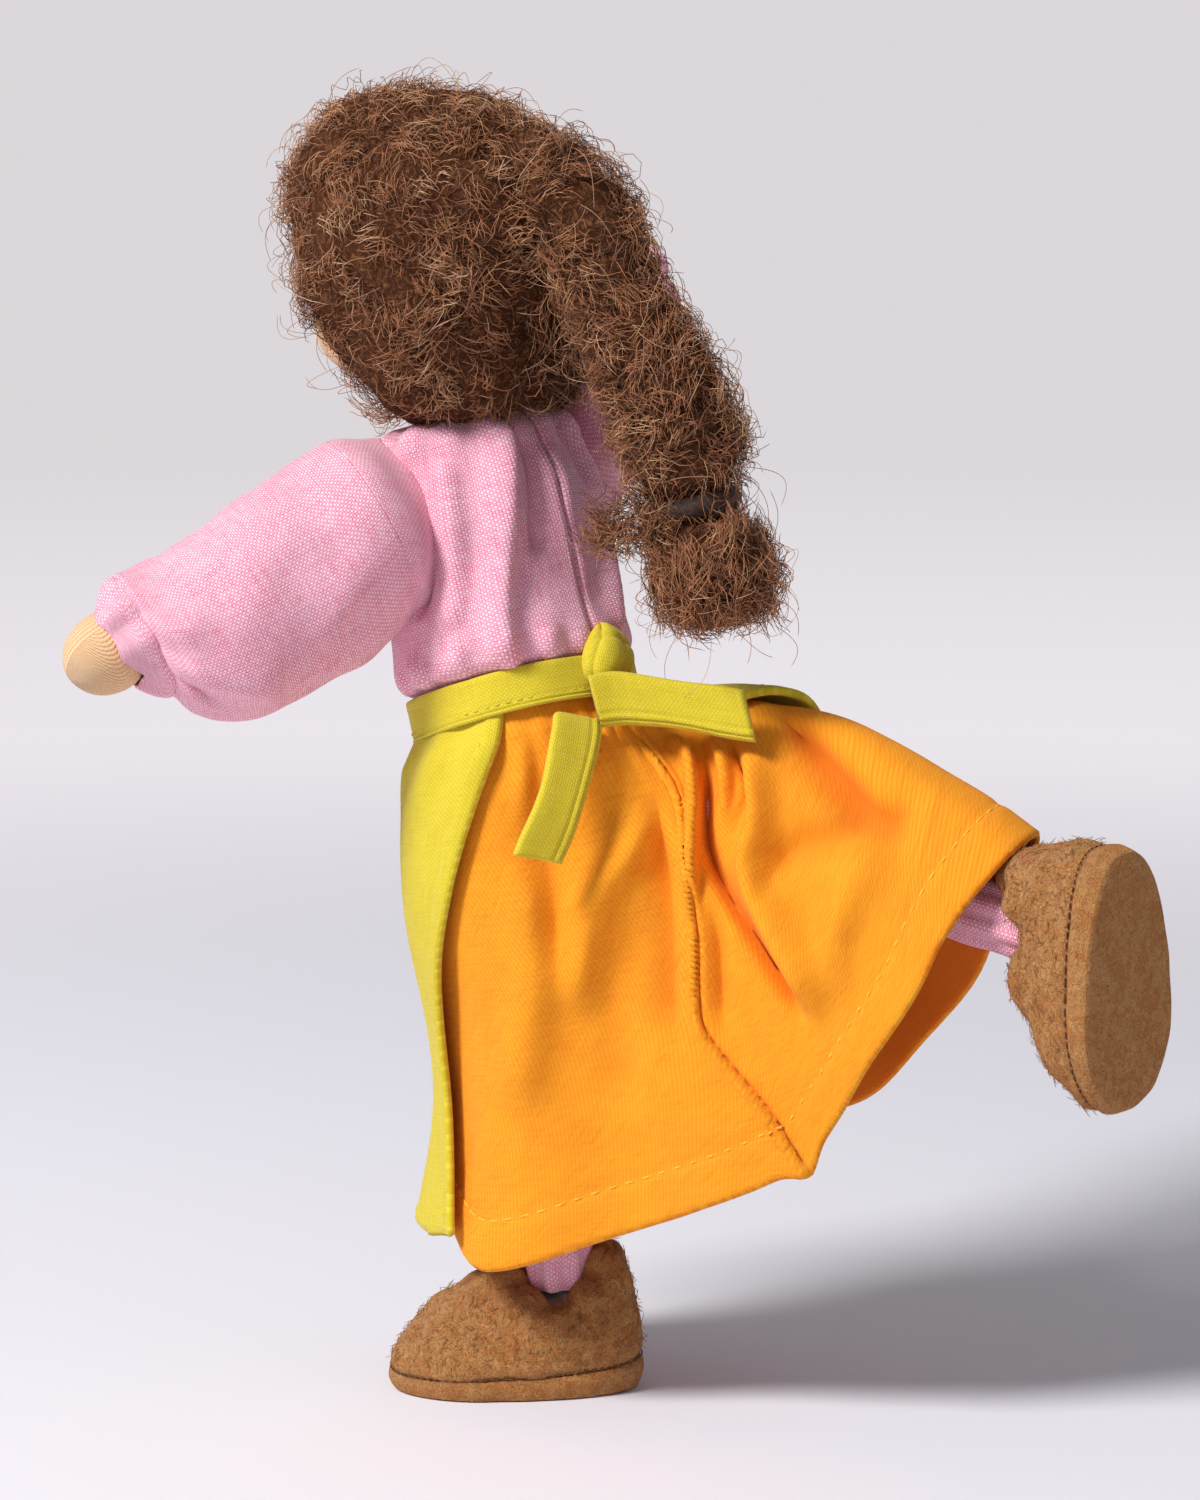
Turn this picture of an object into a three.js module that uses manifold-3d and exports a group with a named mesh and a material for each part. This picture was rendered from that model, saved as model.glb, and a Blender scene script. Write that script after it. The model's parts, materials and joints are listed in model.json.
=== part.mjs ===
// A bendable doll for a doll's house, dancing on its left foot.
// Its frame is wire wound with wool, its head and hands are covered in knitted cotton, and it wears
// a blouse, a skirt, a tied apron, long drawers and felt shoes.
// Millimetres, +Z up. The doll faces -Y, so its left is +X, and the origin is the middle of the sole
// that it stands on.
import * as THREE from "three";
import { mergeVertices } from "three/addons/utils/BufferGeometryUtils.js";
import Module from "manifold-3d";

const wasm = await Module();
wasm.setup();

// Clearances
const GAP = 0.3; // between pieces that touch
const OVERRUN = 2; // how far a cut runs past what it cuts
const BEND_CLEARANCE = 0.4; // from the middle of a bend to the end of each wire

// How the doll is bent, in degrees. A heading runs from the front towards the doll's left.
const STANDING_TOE_HEADING = 47;
const STANDING_LEG_HEADING = 81;
const STANDING_LEG_PITCH = 82.8;
const KICKED_LEG_HEADING = 199;
const KICKED_LEG_PITCH = -13;
const KICKED_SOLE_HEADING = 187;
const KICKED_TOE_OUT = 3;
const PELVIS_TILT = 18;
const TORSO_HEADING = 15;
const TORSO_PITCH = 76.5;
const NECK_HEADING = 35;
const NECK_PITCH = 80.4;
const HEAD_TURN = 6;
const LEFT_ARM_HEADING = 65;
const LEFT_ARM_PITCH = -27.6;
const RIGHT_ARM_HEADING = -60;
const RIGHT_ARM_PITCH = 29;

// Lengths from bend to bend
const ANKLE_HEIGHT = 10.8; // above the underside of the sole
const ANKLE_BACK = 3.6; // behind the middle of the sole
const SHIN_LENGTH = 20.8;
const THIGH_LENGTH = 20.8;
const HIP_HALF = 3.8;
const WAIST_RISE = 6.6; // waist above the hips
const TORSO_LENGTH = 23.6; // waist to the root of the neck
const SHOULDER_HALF = 7.2;
const SHOULDER_DROP = 3.2; // shoulders below the root of the neck
const SHOULDER_SHRUG = 0.7; // right shoulder up, left shoulder down
const UPPER_ARM_LENGTH = 14;
const FOREARM_LENGTH = 12.4;
const NECK_LENGTH = 2; // root of the neck to the underside of the head

// Wire and wool
const WIRE_RADIUS = 0.55;
const WIRE_SIDES = 8;
const ARM_RADIUS = 2.2;
const LEG_RADIUS = 2.4;
const NECK_RADIUS = 2.9;
const LIMB_TIP_RADIUS = 1.05; // wool at a bend
const LIMB_TIP = 0.85; // from the bend to the first turn of wool
const LIMB_SHOULDER = 2.9; // from the bend to the full limb
const LIMB_SIDES = 12;
const CORE_HALF_WIDTH = 6.2;
const CORE_HALF_DEPTH = 4.8;
const CORE_SIDES = 16;
const SPINE_FOOT = -1; // foot of its wire along the torso, from the waist
const HIP_WIRE_RISE = 2.6; // above the hips
const SHOULDER_WIRE_BACK = 2; // behind the wire of the spine
const CROSS_WIRE_RINGS = 17;

// Head and hair
const HEAD_HALF_WIDTH = 10.7;
const HEAD_HALF_HEIGHT = 11.8;
const HEAD_SIDES = 20;
const NECK_SOCKET = 3; // how deep the neck stands in the head
const EYE_RADIUS = 0.85;
const EYE_THICKNESS = 0.5;
const EYE_SPREAD = 22; // degrees from the middle of the face
const EYE_RISE = 2;
const MOUTH_WIDTH = 3.4;
const MOUTH_HEIGHT = 0.9;
const MOUTH_DROP = 26;
const HAIR_DEPTH = 2.3;
const HAIR_CURL = 0.55; // how far the curls stand in and out
const HAIR_SIDES = 22;
const FACE_HALF_WIDTH = 8.6; // opening in the hair
const FACE_HALF_HEIGHT = 9.6;
const FACE_DROP = 2.6; // its middle below the middle of the head
const NAPE_RISE = 1; // end of the hair above the underside of the head
const NAPE_TILT = 11; // lower at the back than at the front
const TAIL_LENGTH = 39;
const TAIL_RADIUS = 5.6;
const TAIL_PINCH = 2.2; // its radius in the tie
const TAIL_SIDES = 14;
const TIE_THICKNESS = 0.8;
const TUFT_RADIUS = 6.2;

// Blouse
const CLOTH = 0.6;
const BLOUSE_HALF_WIDTH = 9.9;
const BLOUSE_HALF_DEPTH = 8.8;
const BLOUSE_PLEAT = 0.3;
const BLOUSE_PLEATS = 7;
const BLOUSE_SIDES = 30;
const SLEEVE_RADIUS = 8;
const SLEEVE_SAG = 3.3; // how far the full sleeve hangs below the arm
const SLEEVE_SEAM = 4; // from the shoulder to the seam between the shoulder cloth and the sleeve
const SLEEVE_PLEAT = 0.3;
const SLEEVE_PLEATS = 5;
const SLEEVE_SIDES = 20;
const CUFF_RADIUS = 4.6;
const FRILL_LENGTH = 3.4;
const FRILL_RADIUS = 5.4;
const THREAD_RADIUS = 0.35;
const HAND_RADIUS = 3.5;
const HAND_LENGTH = 7.6;

// Drawers
const DRAWERS_LEG_RADIUS = 3.25;
const DRAWERS_TOP = 3.2; // from the hip bend to the top of a leg
const DRAWERS_PAST_ANKLE = 0.9;
const DRAWERS_SIDES = 16;
const SEAT_HALF_WIDTH = 8.2;
const SEAT_HALF_DEPTH = 6.8;
const SEAT_DEPTH = 11.5; // from the waist to the underside of the seat

// Skirt, apron and their bands
const SKIRT_CLOTH = 0.7;
const SKIRT_LENGTH = 46;
const SKIRT_FOLD = 0.9;
const SKIRT_FOLDS = 8;
const SKIRT_BULGE = 2; // how far the knee pushes the front out
const SKIRT_LIFT = 5; // how far the cloth stands above the kicked leg
const KNEE_SHARE = 0.36; // shares of the way round from the back seam, by the left
const RIDGE_SHARE = 0.8;
const SKIRT_COLUMNS = 44;
const SKIRT_ROWS = 10;
const APRON_CLOTH = 0.6;
const APRON_EDGES = [0.155, 0.92]; // at the waist, shares of the way round the skirt
const APRON_HEM = [0.2, 0.62];
const APRON_COLUMNS = 30;
const APRON_LENGTH_SHARE = 0.965; // of the skirt's length
const APRON_LIFT = 0.45; // off the skirt
const BAND_RADIUS = 9.7;
const BAND_CLOTH = 0.8;
const BAND_HEIGHT = 3.5;
const BAND_SIDES = 32;
const KNOT_HALF_WIDTH = 2.6;
const KNOT_HALF_HEIGHT = 2.9;
const KNOT_HALF_DEPTH = 1.6;
const KNOT_RISE = 0.7; // above the middle of the band
const TIE_WIDTH = 4.2;
const TIE_CLOTH = 1;
const TIE_LENGTH = 11.5;
const TIE_ROWS = 6;
const TIE_SIDE_SHARES = [
  // to the left, back and up from the waist, as shares of the tie's length
  [-0.06, 1.08, 0.16],
  [-0.24, 1.32, 0.12],
  [-0.45, 1.62, 0.06],
  [-0.62, 1.92, 0.02],
];
const TIE_SIDE_WIDTH_SHARES = [0.1, -0.25, 1]; // which way its width runs
const TIE_DROP_WIDTH_SHARES = [1, -0.35, 0.25];
const TIE_DROP_SHARES = [
  [0.12, 1.03, 0.12],
  [0.36, 1.18, -0.22],
  [0.62, 1.18, -0.58],
  [0.8, 1.12, -0.92],
];

// Shoes
const SHOE_LENGTH = 21.7;
const SHOE_HALF_WIDTH = 5.9;
const SHOE_FELT = 1.1;
const SOLE_THICKNESS = 1.6;
const SOLE_HEEL_RISE = 1;
const COLLAR_HALF_LENGTH = 5.1;
const COLLAR_HALF_WIDTH = 4.3;
const COLLAR_BACK = 3.4; // its middle behind the middle of the sole
const COLLAR_HEIGHT = 6.8; // above the floor at the side
const COLLAR_FRONT_RISE = 2.9;
const COLLAR_HEEL_RISE = 5;
const TOE_SPREAD_SHARE = 0.1; // how much wider the sole is at the toe than at the middle
const FOOT_SHARE = 0.8; // how far up the shoe the foot fills it
const SHOE_SIDES = 24;
const SHOE_ROWS = 6;
const FOOT_CLEARANCE = 0.35;
const ANKLE_WOOL_RADIUS = 1.5;
const INSTEP_HEIGHT = 8.5; // top of the foot above the underside of the sole

const radians = THREE.MathUtils.degToRad;
const X = new THREE.Vector3(1, 0, 0);
const Y = new THREE.Vector3(0, 1, 0);
const Z = new THREE.Vector3(0, 0, 1);

// The unit vector with a heading from the front towards the doll's left and a pitch above the floor.
function direction(heading, pitch) {
  const flat = Math.cos(radians(pitch));
  const side = Math.sin(radians(heading));
  const front = Math.cos(radians(heading));
  return new THREE.Vector3(side * flat, -front * flat, Math.sin(radians(pitch)));
}

function along(from, way, length) {
  return from.clone().addScaledVector(way, length);
}

// The turn that carries local Z onto a direction and keeps local X as near as it can to a side.
function facing(up, side = X) {
  const z = up.clone().normalize();
  const y = new THREE.Vector3().crossVectors(z, side).normalize();
  const x = new THREE.Vector3().crossVectors(y, z);
  return new THREE.Quaternion().setFromRotationMatrix(new THREE.Matrix4().makeBasis(x, y, z));
}

// Bends of the wire frame, from the floor up
const standingToe = direction(STANDING_TOE_HEADING, 0);
const standingLeg = direction(STANDING_LEG_HEADING, STANDING_LEG_PITCH);
const kickedLeg = direction(KICKED_LEG_HEADING, KICKED_LEG_PITCH);
const pelvisTurn = new THREE.Quaternion().setFromAxisAngle(X, radians(PELVIS_TILT));
const torsoUp = direction(TORSO_HEADING, TORSO_PITCH);
const torsoTurn = facing(torsoUp);
const neckUp = direction(NECK_HEADING, NECK_PITCH);
const leftArm = direction(LEFT_ARM_HEADING, LEFT_ARM_PITCH);
const rightArm = direction(RIGHT_ARM_HEADING, RIGHT_ARM_PITCH);

const leftAnkle = along(Z.clone().multiplyScalar(ANKLE_HEIGHT), standingToe, -ANKLE_BACK);
const leftKnee = along(leftAnkle, standingLeg, SHIN_LENGTH);
const leftHip = along(leftKnee, standingLeg, THIGH_LENGTH);
const pelvis = along(leftHip, X, -HIP_HALF);
const rightHip = along(pelvis, X, -HIP_HALF);
const rightKnee = along(rightHip, kickedLeg, THIGH_LENGTH);
const rightAnkle = along(rightKnee, kickedLeg, SHIN_LENGTH);
const waist = along(pelvis, Z.clone().applyQuaternion(pelvisTurn), WAIST_RISE);
const neckRoot = along(waist, torsoUp, TORSO_LENGTH);
const headCentre = along(neckRoot, neckUp, NECK_LENGTH + HEAD_HALF_HEIGHT);

// A place in the torso's own frame: to its left, back and up from the waist.
function onTorso(left, back, up) {
  return new THREE.Vector3(left, back, up).applyQuaternion(torsoTurn).add(waist);
}

const shoulderRise = TORSO_LENGTH - SHOULDER_DROP;
const leftShoulder = onTorso(SHOULDER_HALF, 0, shoulderRise - SHOULDER_SHRUG);
const rightShoulder = onTorso(-SHOULDER_HALF, 0, shoulderRise + SHOULDER_SHRUG);
const leftElbow = along(leftShoulder, leftArm, UPPER_ARM_LENGTH);
const rightElbow = along(rightShoulder, rightArm, UPPER_ARM_LENGTH);

// Materials
function fabric(color, roughness = 0.9) {
  return new THREE.MeshStandardMaterial({ color, roughness, metalness: 0 });
}

const pinkCotton = fabric(0xf0b0c8);
const orangeCotton = fabric(0xf59a28);
const yellowCotton = fabric(0xe6cf42);
const brownFelt = fabric(0xb0753f, 0.95);
const mohair = fabric(0x6b4830, 0.7);
const darkThread = fabric(0x2e1c14);
const skinCotton = fabric(0xe8bd8c);
const wool = fabric(0xe6dac4, 0.95);
const bareWire = new THREE.MeshStandardMaterial({ color: 0x9a9a9a, roughness: 0.4, metalness: 0.9 });

// Geometry

// A closed mesh with its faces turned outwards.
function closedMesh(points, faces) {
  let volume = 0;
  for (let i = 0; i < faces.length; i += 3) {
    const [a, b, c] = [points[faces[i]], points[faces[i + 1]], points[faces[i + 2]]];
    volume += a.dot(b.clone().cross(c));
  }
  const geometry = new THREE.BufferGeometry().setFromPoints(points);
  geometry.setIndex(volume < 0 ? faces.reverse() : faces);
  return geometry;
}

// Two faces for each cell between neighbouring rings of equal count.
function band(faces, first, second, count, isClosed = true) {
  for (let j = 0; j < (isClosed ? count : count - 1); j++) {
    const next = (j + 1) % count;
    faces.push(first + j, first + next, second + next);
    faces.push(first + j, second + next, second + j);
  }
}

// A solid through rings, with a fan over each end.
function loft(rings) {
  const count = rings[0].length;
  const points = rings.flat();
  const faces = [];
  for (let i = 0; i + 1 < rings.length; i++) {
    band(faces, i * count, (i + 1) * count, count);
  }
  [0, rings.length - 1].forEach((i) => {
    const middle = new THREE.Vector3();
    rings[i].forEach((p) => middle.addScaledVector(p, 1 / count));
    const centre = points.push(middle) - 1;
    for (let j = 0; j < count; j++) {
      const edge = [i * count + j, i * count + ((j + 1) % count)];
      faces.push(centre, ...(i ? edge : edge.reverse()));
    }
  });
  return closedMesh(points, faces);
}

// A tube wall: up the outer rings and back down the inner ones.
function wall(outer, inner) {
  const rings = [...outer, ...inner.toReversed()];
  const count = rings[0].length;
  const faces = [];
  rings.forEach((_, i) => {
    band(faces, i * count, ((i + 1) % rings.length) * count, count);
  });
  return closedMesh(rings.flat(), faces);
}

// A sheet with thickness: two grids of points, rows by columns, joined round their edges.
function sheet(outer, inner) {
  const rows = outer.length;
  const columns = outer[0].length;
  const points = [...outer.flat(), ...inner.flat()];
  const under = rows * columns;
  const faces = [];
  for (let i = 0; i + 1 < rows; i++) {
    band(faces, i * columns, (i + 1) * columns, columns, false);
    band(faces, under + (i + 1) * columns, under + i * columns, columns, false);
  }
  const rim = [];
  for (let j = 0; j < columns; j++) rim.push(j);
  for (let i = 1; i < rows; i++) rim.push(i * columns + columns - 1);
  for (let j = columns - 2; j >= 0; j--) rim.push((rows - 1) * columns + j);
  for (let i = rows - 2; i > 0; i--) rim.push(i * columns);
  rim.forEach((a, k) => {
    const b = rim[(k + 1) % rim.length];
    faces.push(b, a, under + a);
    faces.push(b, under + a, under + b);
  });
  return closedMesh(points, faces);
}

// A profile of [radius, height] pairs turned round local Z.
function turned(profile, sides) {
  const outline = profile.map(([radius, height]) => new THREE.Vector2(radius, height));
  const geometry = new THREE.LatheGeometry(outline, sides).rotateX(Math.PI / 2);
  return outwards(geometry);
}

function outwards(geometry) {
  const bare = geometry.index ? geometry.toNonIndexed() : geometry.clone();
  bare.deleteAttribute("normal");
  bare.deleteAttribute("uv");
  const merged = mergeVertices(bare, 1e-4);
  const points = [];
  const position = merged.attributes.position;
  for (let i = 0; i < position.count; i++) {
    points.push(new THREE.Vector3().fromBufferAttribute(position, i));
  }
  const faces = [];
  for (let i = 0; i < merged.index.count; i += 3) {
    const [a, b, c] = [0, 1, 2].map((k) => merged.index.getX(i + k));
    if (a !== b && b !== c && c !== a) faces.push(a, b, c);
  }
  return closedMesh(points, faces);
}

function solid(geometry) {
  const merged = mergeVertices(geometry.clone(), 1e-4);
  const mesh = new wasm.Mesh({
    numProp: 3,
    vertProperties: new Float32Array(merged.attributes.position.array),
    triVerts: new Uint32Array(merged.index.array),
  });
  return new wasm.Manifold(mesh);
}

function geometryOf(manifold) {
  const mesh = manifold.getMesh();
  const geometry = new THREE.BufferGeometry();
  geometry.setAttribute("position", new THREE.BufferAttribute(mesh.vertProperties, 3));
  geometry.setIndex(new THREE.BufferAttribute(mesh.triVerts, 1));
  return geometry;
}

// A geometry less others, and the largest body of what is left.
function cut(geometry, ...tools) {
  const left = tools.reduce((rest, tool) => rest.subtract(solid(tool)), solid(geometry));
  const bodies = left.decompose().sort((a, b) => b.volume() - a.volume());
  return geometryOf(bodies[0]);
}

function placed(geometry, position, turn) {
  const matrix = new THREE.Matrix4().compose(position, turn, new THREE.Vector3(1, 1, 1));
  return geometry.clone().applyMatrix4(matrix);
}

// An ellipsoid round the origin, as one closed mesh.
function ellipsoid(halfX, halfY, halfZ, sides) {
  const ball = new THREE.SphereGeometry(1, sides, sides / 2).rotateX(Math.PI / 2);
  return outwards(ball.scale(halfX, halfY, halfZ));
}

// Round rings along a curve, from one share of its length to another.
function ringsAlong(curve, from, to, radii, sides, ripple = () => 0, side = X) {
  return radii.map((radius, i) => {
    const share = from + ((to - from) * i) / (radii.length - 1);
    const turn = facing(curve.getTangentAt(share), side);
    const centre = curve.getPointAt(share);
    return Array.from({ length: sides }, (_, k) => {
      const angle = (2 * Math.PI * k) / sides;
      const r = radius + ripple(angle, share);
      return new THREE.Vector3(r * Math.cos(angle), r * Math.sin(angle), 0)
        .applyQuaternion(turn)
        .add(centre);
    });
  });
}

// A scene graph: one group for each part of the doll that moves as one
const doll = new THREE.Group();

function body(position = new THREE.Vector3(), turn = new THREE.Quaternion()) {
  const group = new THREE.Group();
  group.position.copy(position);
  group.quaternion.copy(turn);
  doll.add(group);
  return group;
}

function piece(group, name, geometry, material) {
  const mesh = new THREE.Mesh(geometry, material);
  mesh.name = name;
  group.add(mesh);
  return mesh;
}

// Wound limbs

// Wool wound on a wire, thin at both bends, with the wire's bore through it.
function woundLimb(length, radius, swell) {
  const bore = WIRE_RADIUS + GAP;
  const middle = length / 2;
  return turned(
    [
      [bore, LIMB_TIP],
      [LIMB_TIP_RADIUS, LIMB_TIP],
      [radius * swell, LIMB_SHOULDER],
      [radius, middle],
      [radius * swell, length - LIMB_SHOULDER],
      [LIMB_TIP_RADIUS, length - LIMB_TIP],
      [bore, length - LIMB_TIP],
      [bore, LIMB_TIP],
    ],
    LIMB_SIDES,
  );
}

function roundWire(from, to) {
  const capsule = new THREE.CapsuleGeometry(WIRE_RADIUS, to - from - 2 * WIRE_RADIUS, 2, WIRE_SIDES);
  return outwards(capsule.rotateX(Math.PI / 2).translate(0, 0, (from + to) / 2));
}

const SWELL_SHARE = 0.94; // girth near a bend, of the girth halfway

function limb(name, from, to, radius) {
  const way = to.clone().sub(from);
  const length = way.length();
  const group = body(from, facing(way));
  piece(group, name, woundLimb(length, radius, SWELL_SHARE), wool);
  piece(group, name + "_wire", roundWire(BEND_CLEARANCE, length - BEND_CLEARANCE), bareWire);
  return group;
}

limb("left_thigh", leftHip, leftKnee, LEG_RADIUS);
limb("left_shin", leftKnee, leftAnkle, LEG_RADIUS);
limb("right_thigh", rightHip, rightKnee, LEG_RADIUS);
limb("right_shin", rightKnee, rightAnkle, LEG_RADIUS);

// Arms: the forearm's wool ends at the wrist, where the hand starts
function arm(side, shoulder, elbow, way) {
  limb(side + "_upper_arm", shoulder, elbow, ARM_RADIUS);
  const wrist = along(elbow, way, FOREARM_LENGTH);
  limb(side + "_forearm", elbow, wrist, ARM_RADIUS);
  const hand = ellipsoid(HAND_RADIUS, HAND_RADIUS, HAND_LENGTH / 2, LIMB_SIDES);
  hand.translate(0, 0, FOREARM_LENGTH - BEND_CLEARANCE + GAP + HAND_LENGTH / 2);
  piece(body(elbow, facing(way)), side + "_hand", hand, skinCotton);
}

arm("left", leftShoulder, leftElbow, leftArm);
arm("right", rightShoulder, rightElbow, rightArm);

// Torso

const CORE_SHARES = [
  // share of the torso's length, then of the half width and the half depth
  [-0.2, 0.42, 0.45],
  [-0.12, 0.82, 0.8],
  [0.02, 0.95, 0.95],
  [0.3, 0.9, 0.95],
  [0.62, 0.98, 1],
  [0.84, 0.96, 0.9],
  [0.95, 0.62, 0.7],
];

// A ring round the torso's line: level with the pelvis at the waist, and with the chest higher up.
function torsoRing(share, halfWidth, halfDepth, sides, ripple = () => 0) {
  const rise = THREE.MathUtils.smoothstep(share, 0, 1 / 2);
  const turn = pelvisTurn.clone().slerp(torsoTurn, rise);
  const up = share < 0 ? Z.clone().applyQuaternion(pelvisTurn) : torsoUp;
  const centre = along(waist, up, share * TORSO_LENGTH);
  return Array.from({ length: sides }, (_, k) => {
    const angle = (2 * Math.PI * k) / sides;
    const grow = ripple(angle);
    const x = (halfWidth + grow) * Math.sin(angle);
    const y = (halfDepth + grow) * Math.cos(angle);
    return new THREE.Vector3(x, y, 0).applyQuaternion(turn).add(centre);
  });
}

const spineTop = along(neckRoot, neckUp, -BEND_CLEARANCE);
const spineBottom = along(waist, torsoUp, SPINE_FOOT);

function torsoCore() {
  const outer = CORE_SHARES.map(([share, width, depth]) =>
    torsoRing(share, CORE_HALF_WIDTH * width, CORE_HALF_DEPTH * depth, CORE_SIDES),
  );
  const core = loft(outer);
  const way = spineTop.clone().sub(spineBottom);
  const bore = new THREE.CylinderGeometry(
    WIRE_RADIUS + GAP,
    WIRE_RADIUS + GAP,
    way.length() + 2 * OVERRUN,
    WIRE_SIDES,
  );
  bore.rotateX(Math.PI / 2).translate(0, 0, way.length() / 2 + OVERRUN);
  return cut(core, placed(outwards(bore), spineBottom, facing(way)));
}

// A wire across the body from one bend to another, drawn aside halfway, from clear of each bend.
function crossWire(left, right, way, aside, radius) {
  const halfway = left.clone().lerp(right, 1 / 2).add(aside);
  const line = new THREE.CatmullRomCurve3([
    along(left, way, BEND_CLEARANCE),
    left.clone().lerp(halfway, 1 / 2).addScaledVector(aside, 1 / 4),
    halfway,
    right.clone().lerp(halfway, 1 / 2).addScaledVector(aside, 1 / 4),
    along(right, way.clone().reflect(X), BEND_CLEARANCE),
  ]);
  const radii = Array(CROSS_WIRE_RINGS).fill(radius);
  return loft(ringsAlong(line, 0, 1, radii, WIRE_SIDES, undefined, Y));
}

const hipWire = [leftHip, rightHip, Z, Z.clone().multiplyScalar(HIP_WIRE_RISE)];
const spineBack = Y.clone().applyQuaternion(torsoTurn).multiplyScalar(SHOULDER_WIRE_BACK);
const shoulderWire = [leftShoulder, rightShoulder, X.clone().negate(), spineBack];
const torso = body();
piece(
  torso,
  "torso",
  cut(
    torsoCore(),
    crossWire(...hipWire, WIRE_RADIUS + GAP),
    crossWire(...shoulderWire, WIRE_RADIUS + GAP),
  ),
  wool,
);
piece(torso, "hip_wire", crossWire(...hipWire, WIRE_RADIUS), bareWire);
piece(torso, "shoulder_wire", crossWire(...shoulderWire, WIRE_RADIUS), bareWire);

const spineWay = spineTop.clone().sub(spineBottom);
piece(body(spineBottom, facing(spineWay)), "spine_wire", roundWire(0, spineWay.length()), bareWire);

// Neck: a wound stem that the head turns on
const neck = body(neckRoot, facing(neckUp));
const neckTop = NECK_LENGTH + NECK_SOCKET;
piece(
  neck,
  "neck",
  turned(
    [
      [WIRE_RADIUS + GAP, LIMB_TIP],
      [LIMB_TIP_RADIUS, LIMB_TIP],
      [NECK_RADIUS, LIMB_SHOULDER / 2],
      [NECK_RADIUS, neckTop],
      [WIRE_RADIUS + GAP, neckTop],
      [WIRE_RADIUS + GAP, LIMB_TIP],
    ],
    LIMB_SIDES,
  ),
  wool,
);
piece(neck, "neck_wire", roundWire(BEND_CLEARANCE, neckTop + OVERRUN), bareWire);

// Head
const headTurn = facing(neckUp).multiply(
  new THREE.Quaternion().setFromAxisAngle(Z, radians(HEAD_TURN)),
);
const head = body(headCentre, headTurn);

function headBall(grow = 0) {
  return ellipsoid(
    HEAD_HALF_WIDTH + grow,
    HEAD_HALF_WIDTH + grow,
    HEAD_HALF_HEIGHT + grow,
    HEAD_SIDES,
  );
}

// A round hole up into the head, from below it.
function neckHole(radius, depth) {
  const hole = new THREE.CylinderGeometry(radius, radius, depth + OVERRUN, LIMB_SIDES);
  const middle = (depth - OVERRUN) / 2 - HEAD_HALF_HEIGHT;
  return outwards(hole.rotateX(Math.PI / 2).translate(0, 0, middle));
}

piece(
  head,
  "head",
  cut(
    headBall(),
    neckHole(NECK_RADIUS + GAP, NECK_SOCKET + GAP),
    neckHole(WIRE_RADIUS + GAP, NECK_SOCKET + OVERRUN + 2 * GAP),
  ),
  skinCotton,
);

// A thread wound round the neck draws the head's cover in
piece(
  head,
  "neck_thread",
  outwards(
    new THREE.TorusGeometry(NECK_RADIUS + GAP + THREAD_RADIUS, THREAD_RADIUS, 6, LIMB_SIDES).translate(
      0,
      0,
      -HEAD_HALF_HEIGHT - THREAD_RADIUS + GAP / 2,
    ),
  ),
  skinCotton,
);

// A low cushion on the face: degrees to the side of its middle, and up.
function onFace(halfWidth, halfHeight, side, rise) {
  const way = direction(side, rise);
  const spot = way.clone().multiply(new THREE.Vector3(HEAD_HALF_WIDTH, HEAD_HALF_WIDTH, HEAD_HALF_HEIGHT));
  const dot = ellipsoid(halfWidth, halfHeight, EYE_THICKNESS + GAP, LIMB_SIDES);
  return cut(placed(dot, spot, facing(way, Z.clone().cross(way))), headBall(GAP / 3));
}

piece(head, "left_eye", onFace(EYE_RADIUS, EYE_RADIUS, EYE_SPREAD, -EYE_RISE), darkThread);
piece(head, "right_eye", onFace(EYE_RADIUS, EYE_RADIUS, -EYE_SPREAD, -EYE_RISE), darkThread);
piece(head, "mouth", onFace(MOUTH_WIDTH / 2, MOUTH_HEIGHT / 2, 0, -MOUTH_DROP), fabric(0xc0524a));

// Hair: a curly cap with an opening for the face
function hairCap(grow = 0) {
  const cap = ellipsoid(1, 1, 1, HAIR_SIDES);
  const position = cap.attributes.position;
  const p = new THREE.Vector3();
  for (let i = 0; i < position.count; i++) {
    p.fromBufferAttribute(position, i);
    const turn = Math.atan2(p.y, p.x);
    const curl = Math.sin(5 * turn + 4 * p.z) + Math.sin(9 * p.z - 3 * turn) * Math.sin(2 * turn + 1);
    const depth = HAIR_DEPTH + grow + (HAIR_CURL * curl * (1 - p.z * p.z)) / 2;
    p.multiply(
      new THREE.Vector3(HEAD_HALF_WIDTH + depth, HEAD_HALF_WIDTH + depth, HEAD_HALF_HEIGHT + depth),
    );
    position.setXYZ(i, p.x, p.y, p.z);
  }
  return cap;
}

const headRoom = HEAD_HALF_WIDTH + HAIR_DEPTH + OVERRUN;
const faceOpening = ellipsoid(FACE_HALF_WIDTH, headRoom, FACE_HALF_HEIGHT, HEAD_SIDES);
faceOpening.translate(0, -headRoom, -FACE_DROP);
const underNape = outwards(new THREE.BoxGeometry(4 * headRoom, 4 * headRoom, headRoom));
underNape.translate(0, 0, NAPE_RISE - HEAD_HALF_HEIGHT - headRoom / 2).rotateX(radians(-NAPE_TILT));
const neckRoom = neckHole(NECK_RADIUS + 2 * THREAD_RADIUS + 2 * GAP, HEAD_HALF_HEIGHT);
neckRoom.translate(0, 0, -OVERRUN);
piece(head, "hair", cut(hairCap(), headBall(GAP), faceOpening, underNape, neckRoom), mohair);

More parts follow.
